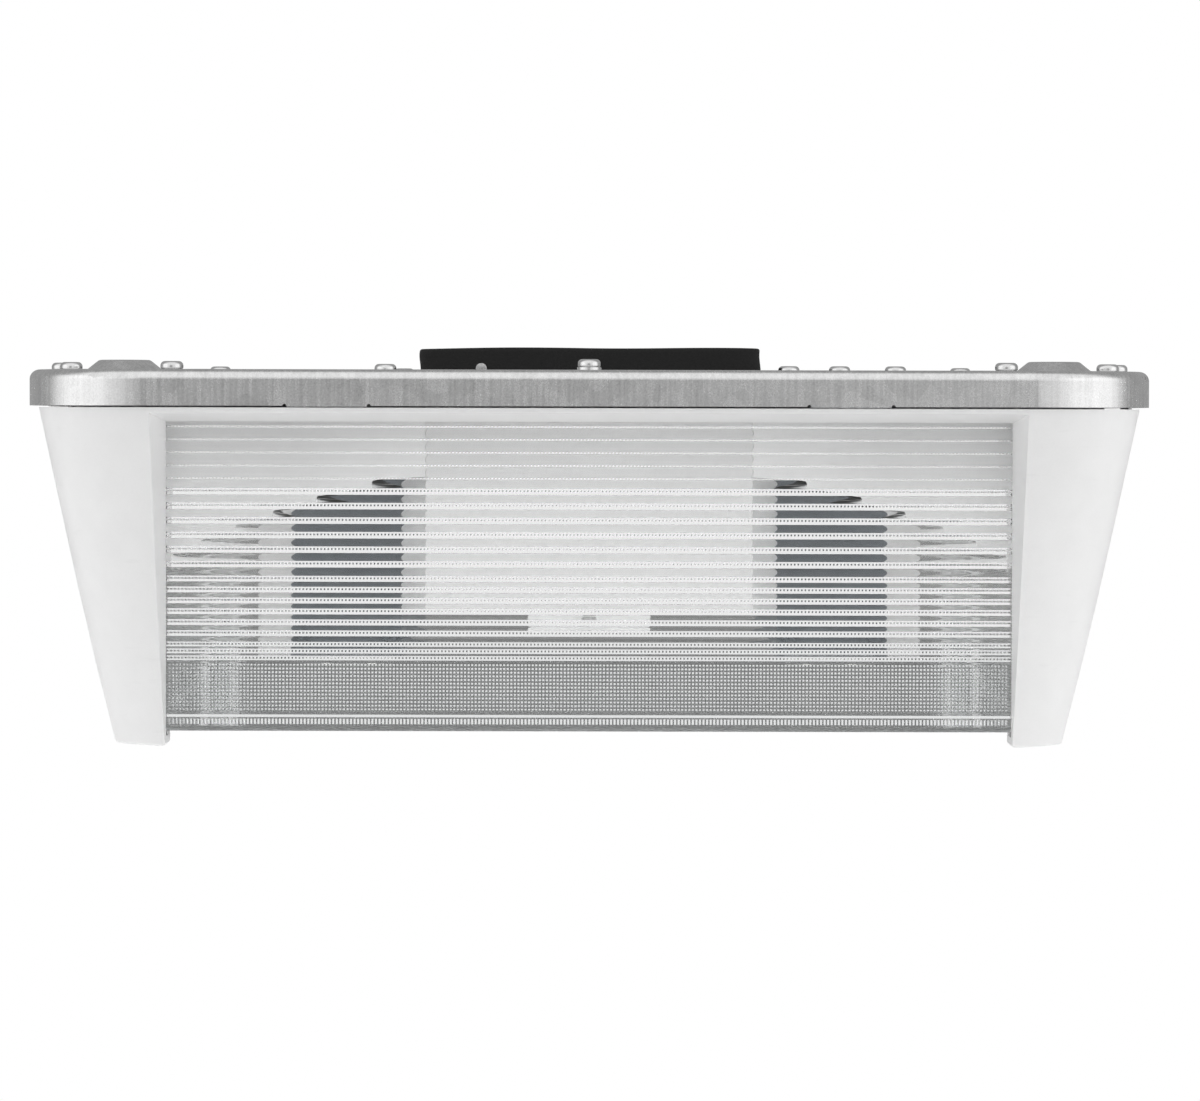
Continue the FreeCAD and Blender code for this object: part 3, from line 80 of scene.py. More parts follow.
class NodeTree:
    """A short way to write shader nodes.

    Args:
        tree: The node tree that new nodes go into.
    """

    def __init__(self, tree: bpy.types.NodeTree) -> None:
        """Keep the tree."""
        self.tree = tree

    @classmethod
    def fresh(cls, owner: bpy.types.ID) -> "NodeTree":
        """The emptied node tree of a material or a world.

        Args:
            owner: The material or the world.

        Returns:
            Its nodes.
        """
        owner.use_nodes = True
        owner.node_tree.nodes.clear()
        return cls(owner.node_tree)

    def add(self, kind: str, settings: Optional[dict] = None, **inputs: object) -> bpy.types.Node:
        """Add a node.

        Args:
            kind: The node's class name without the word Shader.
            settings: Properties of the node.
            inputs: Values or sockets for its inputs, by name with underscores for spaces.

        Returns:
            The new node.
        """
        node = self.tree.nodes.new("Shader" + kind)
        for name, value in (settings or {}).items():
            setattr(node, name, value)
        for name, value in inputs.items():
            self.feed(node.inputs[name.replace("_", " ")], value)
        return node

    def feed(self, target: Socket, value: object) -> None:
        """Link a socket to an input, or set the input's own value.

        Args:
            target: The input.
            value: A socket, a number, a colour or a vector.
        """
        if isinstance(value, Socket):
            self.tree.links.new(value, target)
        elif target.type == "RGBA" and len(value) == 3:
            target.default_value = (*value, 1.0)
        else:
            target.default_value = value

    def maths(self, operation: str, first: object, second: object = 0.0, clamp: bool = False) -> Socket:
        """The result of one sum on two values.

        Args:
            operation: The name of the sum.
            first: A number or a socket.
            second: A number or a socket.
            clamp: Whether the result is held between 0 and 1.

        Returns:
            The result's socket.
        """
        node = self.add("NodeMath", {"operation": operation, "use_clamp": clamp})
        self.feed(node.inputs[0], first)
        self.feed(node.inputs[1], second)
        return node.outputs[0]

    def weigh(self, *parts: tuple[Socket, float]) -> Socket:
        """The sum of some values, each times its share.

        Args:
            parts: Each value with its share.

        Returns:
            The sum's socket.
        """
        scaled = [self.maths("MULTIPLY", value, share) for value, share in parts]
        total = scaled[0]
        for value in scaled[1:]:
            total = self.maths("ADD", total, value)
        return total

    def span(self, value: Socket, low: float, high: float, start: float = 0.0, end: float = 1.0) -> Socket:
        """A value moved from one span to another, and held there.

        Args:
            value: The value.
            low: What start becomes.
            high: What end becomes.
            start: The start of the value's own span.
            end: The end of it.

        Returns:
            The new value's socket.
        """
        node = self.add("NodeMapRange", {"clamp": True})
        for name, setting in zip(("From Min", "From Max", "To Min", "To Max"), (start, end, low, high)):
            node.inputs[name].default_value = setting
        self.feed(node.inputs["Value"], value)
        return node.outputs["Result"]

    def mix(self, share: object, first: object, second: object) -> Socket:
        """A blend of two colours.

        Args:
            share: How much of the second colour shows.
            first: A colour or a socket.
            second: A colour or a socket.

        Returns:
            The blend's socket.
        """
        node = self.add("NodeMix", {"data_type": "RGBA"})
        self.feed(node.inputs[0], share)
        self.feed(node.inputs[6], first)
        self.feed(node.inputs[7], second)
        return node.outputs[2]

    def choose(self, flag: Socket, off: object, on: object) -> Socket:
        """One of two values.

        Args:
            flag: 0 or 1.
            off: The value for 0.
            on: The value for 1.

        Returns:
            The chosen value's socket.
        """
        node = self.add("NodeMix", {"data_type": "FLOAT"})
        self.feed(node.inputs[0], flag)
        self.feed(node.inputs[2], off)
        self.feed(node.inputs[3], on)
        return node.outputs[0]

    def place(self, scale: Triple = (1.0, 1.0, 1.0)) -> Socket:
        """The point on the object, stretched along its axes."""
        point = self.add("NodeTexCoord").outputs["Object"]
        return self.add("NodeMapping", Vector=point, Scale=scale).outputs["Vector"]

    def mix_shaders(self, share: Socket, first: Socket, second: Socket) -> Socket:
        """A blend of two shaders.

        Args:
            share: How much of the second shader shows.
            first: The first shader.
            second: The second one.

        Returns:
            The blend's socket.
        """
        node = self.add("NodeMixShader", Fac=share)
        self.feed(node.inputs[1], first)
        self.feed(node.inputs[2], second)
        return node.outputs["Shader"]

    def show(self, shader: Socket, kind: str = "NodeOutputMaterial") -> None:
        """Make a shader the result of the tree."""
        self.feed(self.add(kind).inputs["Surface"], shader)


class SharedGroup:
    """A node group that several finishes use, made once.

    Args:
        name: The group's name.
        inputs: Its inputs with their defaults, numbers or vectors.
        outputs: Its number outputs.
        wire: Fills the group: it takes the tree, the inputs and the outputs.
    """

    def __init__(self, name: str, inputs: dict, outputs: tuple, wire: Callable[..., None]) -> None:
        """Keep what the group is made from."""
        self.name = name
        self.inputs = inputs
        self.outputs = outputs
        self.wire = wire
        self.tree: Optional[bpy.types.NodeTree] = None

    def make(self) -> bpy.types.NodeTree:
        """Make the group's node tree on first use.

        Returns:
            The node tree.
        """
        if self.tree is not None:
            return self.tree
        tree = bpy.data.node_groups.new(self.name, "ShaderNodeTree")
        for name, value in self.inputs.items():
            kind = "NodeSocketVector" if isinstance(value, tuple) else "NodeSocketFloat"
            tree.interface.new_socket(name, in_out="INPUT", socket_type=kind).default_value = value
        for name in self.outputs:
            tree.interface.new_socket(name, in_out="OUTPUT", socket_type="NodeSocketFloat")
        start, end = tree.nodes.new("NodeGroupInput"), tree.nodes.new("NodeGroupOutput")
        self.wire(NodeTree(tree), start.outputs, end.inputs)
        self.tree = tree
        return tree

    def use(self, nodes: NodeTree, **values: object) -> bpy.types.Node:
        """Place the group in a material.

        Args:
            nodes: The material's nodes.
            values: The group's inputs by name.

        Returns:
            The group's node.
        """
        node = nodes.add("NodeGroup", {"node_tree": self.make()})
        for name, value in values.items():
            nodes.feed(node.inputs[name], value)
        return node


# The span that nearly all values of a noise lie in, and the clouds' scale as a share of the grain's
NOISE_SPAN = (0.3, 0.7)
CLOUD_SCALE = 0.07


def wire_grain(nodes: NodeTree, given: dict, result: dict) -> None:
    """Soft clouds and fine grain, each from 0 to 1.

    Args:
        nodes: The group's nodes.
        given: Its inputs.
        result: Its outputs.
    """
    stretched = nodes.add("NodeVectorMath", {"operation": "MULTIPLY"})
    nodes.feed(stretched.inputs[0], nodes.add("NodeTexCoord").outputs["Object"])
    nodes.feed(stretched.inputs[1], given["Stretch"])
    vector = stretched.outputs[0]
    fine = nodes.add("NodeTexNoise", Vector=vector, Scale=given["Scale"], Detail=4.0, Roughness=0.6)
    wide_scale = nodes.maths("MULTIPLY", given["Scale"], CLOUD_SCALE)
    wide = nodes.add("NodeTexNoise", Vector=vector, Scale=wide_scale, Detail=3.0, Roughness=0.5)
    nodes.feed(result["Fine"], nodes.span(fine.outputs["Fac"], 0.0, 1.0, *NOISE_SPAN))
    nodes.feed(result["Clouds"], nodes.span(wide.outputs["Fac"], 0.0, 1.0, *NOISE_SPAN))


# Handling marks: the streaks' stretch and soft edge, and the specks' number, soft edge and choice
STREAK_STRETCH = (60.0, 60.0, 400.0)
STREAK_EDGE = (0.66, 0.74)
SPECKS_PER_METRE = 260.0
SPECK_EDGE = (0.05, 0.12)
SPECK_CHOICE = (0.8, 0.86)


def wire_marks(nodes: NodeTree, given: dict, result: dict) -> None:
    """Sparse handling marks: short streaks and small specks, as a mask.

    Args:
        nodes: The group's nodes.
        given: Its inputs.
        result: Its outputs.
    """
    streaks = nodes.add("NodeTexNoise", Vector=nodes.place(STREAK_STRETCH), Scale=1.0, Detail=2.0)
    specks = nodes.add("NodeTexVoronoi", Vector=nodes.place(), Scale=SPECKS_PER_METRE)
    dots = nodes.span(specks.outputs["Distance"], 1.0, 0.0, *SPECK_EDGE)
    chosen = nodes.span(specks.outputs["Color"], 0.0, 1.0, *SPECK_CHOICE)
    lines = nodes.span(streaks.outputs["Fac"], 0.0, 1.0, *STREAK_EDGE)
    both = nodes.maths("MAXIMUM", nodes.maths("MULTIPLY", dots, chosen), lines)
    nodes.feed(result["Mask"], nodes.maths("MULTIPLY", both, given["Amount"], clamp=True))


# Dust: how far a face has to look up, its patches' scale, least share and soft edge, and its colour
DUST_SLOPE = (0.5, 0.95)
DUST_SCALE = 34.0
DUST_LEAST = 0.15
DUST_EDGE = (0.4, 0.75)
DUST_COLOUR = grey(0.42)


def wire_dust(nodes: NodeTree, given: dict, result: dict) -> None:
    """Dust that lies on faces that look up, as a mask.

    Args:
        nodes: The group's nodes.
        given: Its inputs.
        result: Its outputs.
    """
    normal = nodes.add("NodeSeparateXYZ", Vector=nodes.add("NodeNewGeometry").outputs["Normal"])
    up = nodes.span(normal.outputs["Z"], 0.0, 1.0, *DUST_SLOPE)
    cloud = nodes.add("NodeTexNoise", Vector=nodes.place(), Scale=DUST_SCALE, Detail=6.0, Roughness=0.65)
    patch = nodes.span(cloud.outputs["Fac"], DUST_LEAST, 1.0, *DUST_EDGE)
    nodes.feed(result["Mask"], nodes.maths("MULTIPLY", nodes.maths("MULTIPLY", up, patch), given["Amount"]))


GRAIN = SharedGroup("grain", {"Scale": 900.0, "Stretch": (1.0, 1.0, 1.0)}, ("Fine", "Clouds"), wire_grain)
MARKS = SharedGroup("handling_marks", {"Amount": 0.3}, ("Mask",), wire_marks)
DUST = SharedGroup("settled_dust", {"Amount": 0.1}, ("Mask",), wire_dust)


@dataclass(frozen=True)
class SurfaceFinish:
    """An opaque finish with grain, handling marks and settled dust.

    Attributes:
        name: The material's name.
        light: Its colour where the grain is light.
        dark: Its colour where the grain is dark.
        metallic: 1 for bare metal, otherwise 0.
        roughness: The least and the greatest roughness.
        grain: Grains per metre.
        stretch: The grain's stretch on each axis.
        relief: Depth of the grain in millimetres.
        marks: How strongly handling marks show.
        worn: How light a mark is beside the dark grain.
        dust: How much dust lies on top.
    """

    name: str
    light: Colour
    dark: Colour
    metallic: float = 0.0
    roughness: Pair = (0.35, 0.5)
    grain: float = 900.0
    stretch: Triple = (1.0, 1.0, 1.0)
    relief: float = 0.01
    marks: float = 0.25
    worn: float = 0.6
    dust: float = 0.0

    def tone(self, nodes: NodeTree, fine: Socket, clouds: Socket) -> Socket:
        """How light the surface is at a point, from 0 to 1: here grain and clouds in equal shares."""
        return nodes.weigh((fine, 0.5), (clouds, 0.5))

    def height(self, nodes: NodeTree, fine: Socket, tone: Socket) -> Socket:
        """The surface's height at a point, from 0 to 1: here the fine grain alone."""
        return fine

    def build(self) -> bpy.types.Material:
        """Make the material.

        Returns:
            The material.
        """
        material = bpy.data.materials.new(self.name)
        nodes = NodeTree.fresh(material)
        grain = GRAIN.use(nodes, Scale=self.grain, Stretch=self.stretch)
        fine, clouds = grain.outputs["Fine"], grain.outputs["Clouds"]
        tone = self.tone(nodes, fine, clouds)
        marks = MARKS.use(nodes, Amount=self.marks).outputs["Mask"]
        dust = DUST.use(nodes, Amount=self.dust).outputs["Mask"]
        worn = tuple(self.worn * level for level in self.dark)
        colour = nodes.mix(marks, nodes.mix(tone, self.dark, self.light), worn)
        colour = nodes.mix(dust, colour, DUST_COLOUR)
        rough = nodes.span(nodes.maths("ADD", tone, marks), *self.roughness)
        height = self.height(nodes, fine, tone)
        bump = nodes.add("NodeBump", Height=height, Distance=self.relief * MM, Strength=1.0)
        shader = nodes.add(
            "NodeBsdfPrincipled", Base_Color=colour, Roughness=rough, Metallic=self.metallic,
            Normal=bump.outputs["Normal"],
        )
        nodes.show(shader.outputs["BSDF"])
        return material


@dataclass(frozen=True)
class SpangledSheet(SurfaceFinish):
    """Galvanised sheet: large faint zinc crystals, and rolling streaks across the flange.

    Attributes:
        crystals: Crystals per metre.
        streaks: The streaks' stretch on each axis.
        streak_edge: The noise values between which a streak turns from dark to light.
        shares: The shares of crystals, streaks and grain in the tone.
    """

    crystals: float = 130.0
    streaks: Triple = (620.0, 620.0, 25.0)
    streak_edge: Pair = (0.32, 0.68)
    shares: Triple = (0.22, 0.38, 0.4)

    def tone(self, nodes: NodeTree, fine: Socket, clouds: Socket) -> Socket:
        """How light the zinc is: crystals, streaks and grain together.

        Args:
            nodes: The material's nodes.
            fine: The fine grain.
            clouds: The soft clouds; not used.

        Returns:
            The tone's socket.
        """
        cells = nodes.add("NodeTexVoronoi", Vector=nodes.place(), Scale=self.crystals)
        cell = nodes.add("NodeSeparateColor", Color=cells.outputs["Color"]).outputs[0]
        noise = nodes.add("NodeTexNoise", Vector=nodes.place(self.streaks), Scale=1.0, Detail=3.0)
        streak = nodes.span(noise.outputs["Fac"], 0.0, 1.0, *self.streak_edge)
        return nodes.weigh(*zip((cell, streak, fine), self.shares))


@dataclass(frozen=True)
class CellFoam(SurfaceFinish):
    """Closed-cell foam: small cells with painted shade in their hollows and lighter walls, and some pale
    specks on the cut face that are painted highlights.

    Attributes:
        cells: Cells per metre.
        cell_edge: The shares of a cell's width between which its painted shade turns to the lighter wall.
        lit_wall_share: How much lighter the walls between the cells are painted than the shaded hollows.
        specks: Places for a speck per metre; each speck is a painted highlight.
        glint_edge: The shares of a place's width between which a speck fades.
        glint_choice: The draws between which a place comes to have a speck.
    """

    cells: float = 1300.0
    cell_edge: Pair = (0.1, 0.7)
    lit_wall_share: float = 0.28
    specks: float = 420.0
    glint_edge: Pair = (0.06, 0.16)
    glint_choice: Pair = (0.86, 0.93)

    def tone(self, nodes: NodeTree, fine: Socket, clouds: Socket) -> Socket:
        """How light the foam is: painted shade in the cells' hollows, and sparse specks that are painted
        highlights.

        Args:
            nodes: The material's nodes.
            fine: The fine grain; not used.
            clouds: The soft clouds; not used.

        Returns:
            The tone's socket.
        """
        small = nodes.add("NodeTexVoronoi", Vector=nodes.place(), Scale=self.cells)
        # Painted shade: each cell is darkest in its hollow and lighter towards its walls.
        cell = nodes.span(small.outputs["Distance"], 0.0, self.lit_wall_share, *self.cell_edge)
        # Painted highlights: pale specks on some of the cells.
        few = nodes.add("NodeTexVoronoi", Vector=nodes.place(), Scale=self.specks)
        glint = nodes.span(few.outputs["Distance"], 1.0, 0.0, *self.glint_edge)
        draw = nodes.add("NodeSeparateColor", Color=few.outputs["Color"]).outputs[0]
        chosen = nodes.span(draw, 0.0, 1.0, *self.glint_choice)
        return nodes.maths("ADD", cell, nodes.maths("MULTIPLY", glint, chosen), clamp=True)

    def height(self, nodes: NodeTree, fine: Socket, tone: Socket) -> Socket:
        """The surface's height: the cells."""
        return tone


@dataclass(frozen=True)
class CircuitBoard(SurfaceFinish):
    """White solder mask with copper runs that show through it in relief.

    Attributes:
        across: The runs' steps across a board, in radians per metre.
        along: Their steps along it.
        across_gap: Height of the wave where a gap across a board starts.
        along_gap: The same along it.
        run_share: The runs' share in the tone, which the grain fills up.
    """

    across: float = 800.0
    along: float = 392.7
    across_gap: float = 0.04
    along_gap: float = 0.03
    run_share: float = 0.75

    def gaps(self, nodes: NodeTree, place: Socket, rate: float, start: float) -> Socket:
        """Narrow gaps at equal steps along an axis, whose soft edges end at three times the start.

        Args:
            nodes: The material's nodes.
            place: The place on the axis.
            rate: The steps in radians per metre.
            start: Height of the wave where a gap starts.

        Returns:
            A socket that is 0 in the gaps and 1 between them.
        """
        wave = nodes.maths("ABSOLUTE", nodes.maths("SINE", nodes.maths("MULTIPLY", place, rate)))
        return nodes.span(wave, 0.0, 1.0, start, 3 * start)

    def tone(self, nodes: NodeTree, fine: Socket, clouds: Socket) -> Socket:
        """How light the mask is: darker over the gaps between the copper runs.

        Args:
            nodes: The material's nodes.
            fine: The fine grain.
            clouds: The soft clouds; not used.

        Returns:
            The tone's socket.
        """
        point = nodes.add("NodeSeparateXYZ", Vector=nodes.place())
        across = self.gaps(nodes, point.outputs["X"], self.across, self.across_gap)
        along = self.gaps(nodes, point.outputs["Y"], self.along, self.along_gap)
        runs = nodes.maths("MINIMUM", across, along)
        return nodes.weigh((runs, self.run_share), (fine, 1 - self.run_share))

    def height(self, nodes: NodeTree, fine: Socket, tone: Socket) -> Socket:
        """The surface's height: the copper runs."""
        return tone


@dataclass(frozen=True)
class LampPackages(SurfaceFinish):
    """Small white packages, each with a round window of phosphor.

    Attributes:
        pitch: From one to the next along a bar.
        bar: From the middle plane to the middle of a bar.
        row: From the middle of a bar to a row.
        window: Radius of a window.
        soft: The share of the radius that the window's edge is soft to each side.
    """

    pitch: float = 16.0 * MM
    bar: float = 90.5 * MM
    row: float = 8.5 * MM
    window: float = 1.05 * MM
    soft: float = 0.06

    def tone(self, nodes: NodeTree, fine: Socket, clouds: Socket) -> Socket:
        """Where the phosphor shows.

        Args:
            nodes: The material's nodes.
            fine: The fine grain.
            clouds: The soft clouds; not used.

        Returns:
            The tone's socket.
        """
        point = nodes.add("NodeSeparateXYZ", Vector=nodes.place())
        off_bar = nodes.maths("SUBTRACT", nodes.maths("ABSOLUTE", point.outputs["X"]), self.bar)
        across = nodes.maths("SUBTRACT", nodes.maths("ABSOLUTE", off_bar), self.row)
        step = nodes.maths("FRACT", nodes.maths("DIVIDE", point.outputs["Y"], self.pitch))
        along = nodes.maths("MULTIPLY", nodes.maths("SUBTRACT", step, 0.5), self.pitch)
        squares = [nodes.maths("MULTIPLY", way, way) for way in (across, along)]
        distance = nodes.maths("SQRT", nodes.maths("ADD", *squares))
        inner, outer = (1 - self.soft) * self.window, (1 + self.soft) * self.window
        inside = nodes.span(distance, 1.0, 0.0, inner, outer)
        return nodes.maths("MULTIPLY", inside, nodes.span(fine, 0.85, 1.0))


@dataclass(frozen=True)
class ClearMoulding:
    """Clear acrylic that lets light through to what it covers.

    Attributes:
        name: The material's name.
        clear: Its colour in the upper, large prisms.
        shaded_foot: Its colour towards the foot, greyer than in the upper prisms: painted shade that darkens
            the fine prisms.
        foot_shade_edge: The heights between which the painted shade grows, in metres.
        ground: The heights between which the foot turns matt.
        foot_matt: Roughness of the foot's edge.
        floor_edge: The distances from the middle between which the floor's softer grain ends.
        floor_share: The floor's share of the edge's roughness.
        grained: From the middle to the grained corners.
        corner_matt: Roughness of the corners.
        haze: The greatest roughness of its clear parts.
        grain: Grains of the haze per metre.
        shade: Colour of the light that it lets through.
        ior: Its index of refraction.
    """

    name: str
    clear: Colour = (0.985, 0.988, 0.988)
    shaded_foot: Colour = (0.92, 0.93, 0.93)
    foot_shade_edge: Pair = (-0.088, -0.110)
    ground: Pair = (-0.1292, -0.1298)
    foot_matt: float = 0.75
    floor_edge: Pair = (0.154, 0.164)
    floor_share: float = 0.4
    grained: float = 0.1551
    corner_matt: float = 0.5
    haze: float = 0.03
    grain: float = 400.0
    shade: Colour = grey(0.99)
    ior: float = 1.49

    def roughness(self, nodes: NodeTree, point: bpy.types.Node) -> Socket:
        """How matt the acrylic is: at its foot, in its corners and, slightly, all over.

        Args:
            nodes: The material's nodes.
            point: The node that gives the place on each axis.

        Returns:
            The roughness's socket.
        """
        across = [nodes.maths("ABSOLUTE", point.outputs[name]) for name in ("X", "Y")]
        corner = nodes.maths("GREATER_THAN", nodes.maths("MINIMUM", *across), self.grained)
        outward = nodes.span(nodes.maths("MAXIMUM", *across), self.floor_share, 1.0, *self.floor_edge)
        ground = nodes.span(point.outputs["Z"], 0.0, self.foot_matt, *self.ground)
        foot = nodes.maths("MULTIPLY", ground, outward)
        matt = nodes.maths("MAXIMUM", foot, nodes.maths("MULTIPLY", corner, self.corner_matt))
        clouds = GRAIN.use(nodes, Scale=self.grain).outputs["Clouds"]
        return nodes.maths("MAXIMUM", matt, nodes.span(clouds, 0.0, self.haze))

    def build(self) -> bpy.types.Material:
        """Make the material.

        Returns:
            The material.
        """
        material = bpy.data.materials.new(self.name)
        nodes = NodeTree.fresh(material)
        point = nodes.add("NodeSeparateXYZ", Vector=nodes.place())
        # Painted shade: the acrylic turns greyer towards the foot.
        share = nodes.span(point.outputs["Z"], 0.0, 1.0, *self.foot_shade_edge)
        glass = nodes.add(
            "NodeBsdfPrincipled", Base_Color=nodes.mix(share, self.clear, self.shaded_foot),
            Roughness=self.roughness(nodes, point), IOR=self.ior, Transmission_Weight=1.0, Metallic=0.0,
        )
        through = nodes.add("NodeBsdfTransparent", Color=self.shade)
        shadow = nodes.add("NodeLightPath").outputs["Is Shadow Ray"]
        nodes.show(nodes.mix_shaders(shadow, glass.outputs["BSDF"], through.outputs["BSDF"]))
        return material


FINISHES = {
    "galvanised_sheet": SpangledSheet(
        "spangled_galvanised_sheet", grey(0.9), grey(0.6), metallic=1.0, roughness=(0.18, 0.32),
        grain=1500.0, relief=0.006, marks=0.1, dust=0.12,
    ),
    "zinc_fastener": SurfaceFinish(
        "bright_zinc", grey(0.86), grey(0.62), metallic=1.0, roughness=(0.14, 0.28), grain=2500.0,
        relief=0.004, marks=0.2,
    ),
    "white_nylon": SurfaceFinish(
        "white_nylon", grey(0.95), grey(0.9), roughness=(0.3, 0.45), grain=2500.0, relief=0.004, marks=0.0,
    ),
    "white_moulding": SurfaceFinish(
        "satin_white_moulding", grey(0.86), grey(0.82), roughness=(0.28, 0.42), grain=1600.0, relief=0.006,
        marks=0.06, dust=0.05,
    ),
    "white_paint": SurfaceFinish(
        "satin_white_paint", grey(0.88), grey(0.84), roughness=(0.32, 0.48), grain=1200.0, relief=0.012,
        marks=0.08, dust=0.06,
    ),
    # Painted light: a brighter, matter copy of the white paint for the reflectors in the dim inside.
    "brightened_reflector_paint": SurfaceFinish(
        "matt_brightened_reflector", grey(0.97), grey(0.95), roughness=(0.45, 0.6), grain=1200.0, relief=0.012,
        marks=0.04, dust=0.04,
    ),
    "black_foam": CellFoam(
        "black_cell_foam", grey(0.022), grey(0.004), roughness=(0.75, 0.95), relief=0.15, marks=0.0,
    ),
    "pale_seal": SurfaceFinish(
        "pale_silicone", grey(0.62), grey(0.52), roughness=(0.5, 0.65), relief=0.02, marks=0.05,
    ),
    "dark_anodised": SurfaceFinish(
        "slate_anodised", (0.135, 0.15, 0.165), (0.105, 0.12, 0.135), grain=1400.0,
        stretch=(1.0, 0.08, 1.0), relief=0.005, marks=0.1,
    ),
    "opal_strip": SurfaceFinish("frosted_opal", grey(0.66), grey(0.58), roughness=(0.45, 0.6), marks=0.03),
    "white_board": CircuitBoard(
        "white_solder_mask", (0.86, 0.86, 0.83), (0.7, 0.7, 0.66), roughness=(0.25, 0.4), relief=0.03,
        marks=0.0,
    ),
    "phosphor": LampPackages(
        "lamp_packages", (0.92, 0.68, 0.14), (0.88, 0.88, 0.85), roughness=(0.3, 0.2), marks=0.0,
    ),
    "driver_case": SurfaceFinish(
        "plain_case_sheet", grey(0.62), grey(0.5), metallic=1.0, grain=1500.0, stretch=(0.05, 1.0, 1.0),
        relief=0.006, marks=0.2,
    ),
    "grey_nylon": SurfaceFinish(
        "grey_nylon", grey(0.16), grey(0.11), roughness=(0.45, 0.6), relief=0.015, marks=0.1,
    ),
    "lead_sleeve": SurfaceFinish("black_sleeve", grey(0.035), grey(0.02), marks=0.1),
    "clear_lens": ClearMoulding("clear_prismatic_moulding"),
}
MATERIALS: dict[str, bpy.types.Material] = {}


def finish(name: str) -> bpy.types.Material:
    """The material of a finish, made on first use.

    Args:
        name: The finish's name, which for most is the record's material slot.

    Returns:
        The material.
    """
    if name not in MATERIALS:
        MATERIALS[name] = FINISHES[name].build()
    return MATERIALS[name]


def settle(piece: bpy.types.Object, ride: Ride, slot: str, replaced: str) -> None:
    """Give a finished piece the finish of its slot and its body, and hide the node that it stands for.

    Args:
        piece: The piece, at the origin.
        ride: The body that it moves with.
        slot: The record's material slot.
        replaced: The node that it stands for.
    """
    piece.data.materials.append(finish(slot))
    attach(piece, ride.value)
    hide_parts(replaced)
    LOG.info("%s: %d faces", piece.name, len(piece.data.polygons))


def deselect_all() -> None:
    """Leave nothing selected, so that an operator acts on the new piece alone."""
    for piece in bpy.context.selected_objects:
        piece.select_set(False)


def activate(piece: bpy.types.Object) -> None:
    """Make a piece the only selected one, and the active one.

    Args:
        piece: The piece.
    """
    deselect_all()
    piece.select_set(True)
    bpy.context.view_layer.objects.active = piece


def select_only(piece: bpy.types.Object, pick: Pick, wanted: Callable[..., bool]) -> None:
    """Select those edges or faces of a piece in edit mode that pass a test.

    Args:
        piece: The piece.
        pick: Whether edges or faces are selected.
        wanted: The test.
    """
    bpy.ops.mesh.select_mode(type=pick.value)
    bpy.ops.mesh.select_all(action="DESELECT")
    shape = bmesh.from_edit_mesh(piece.data)
    for item in shape.edges if pick is Pick.EDGES else shape.faces:
        item.select_set(wanted(item))
    bmesh.update_edit_mesh(piece.data)


def stands(edge: bmesh.types.BMEdge) -> bool:
    """Whether an edge of a block stands upright."""
    way = edge.verts[1].co - edge.verts[0].co
    return abs(way.z) > max(abs(way.x), abs(way.y))


def lies(face: bmesh.types.BMFace) -> bool:
    """Whether a face of a block lies level."""
    return abs(face.normal.z) > max(abs(face.normal.x), abs(face.normal.y))


def close_and_shade(piece: bpy.types.Object, crease: float) -> None:
    """Turn all faces outwards and shade them smooth up to an angle.

    Args:
        piece: The piece.
        crease: The angle in degrees.
    """
    activate(piece)
    bpy.ops.object.mode_set(mode="EDIT")
    bpy.ops.mesh.select_all(action="SELECT")
    bpy.ops.mesh.normals_make_consistent(inside=False)
    bpy.ops.object.mode_set(mode="OBJECT")
    bpy.ops.object.shade_smooth_by_angle(angle=math.radians(crease))


def rounded_square(half: float, radius: float, steps: int = 10) -> list[Pair]:
    """Points round a square with round corners, anticlockwise from the right side's rear end.

    Args:
        half: Half the square's width.
        radius: Radius of its corners.
        steps: How many faces a corner has.

    Returns:
        The points.
    """
    points = []
    centre = half - radius
    for quarter, (across, up) in enumerate(((1, 1), (-1, 1), (-1, -1), (1, -1))):
        for step in range(steps + 1):
            angle = math.radians(90 * (step / steps + quarter))
            x = across * centre + radius * math.cos(angle)
            y = up * centre + radius * math.sin(angle)
            points.append((x, y))
    return points


def quarters(ring: list[Pair]) -> list[list[Pair]]:
    """The points of a rounded square, in one list for each corner."""
    count = len(ring) // 4
    return [ring[quarter * count:(quarter + 1) * count] for quarter in range(4)]


def beyond(outline: list[Pair], start: float) -> list[Pair]:
    """The points of an outline that lie further out than a distance on both axes."""
    return [(x, y) for x, y in outline if min(abs(x), abs(y)) > start]


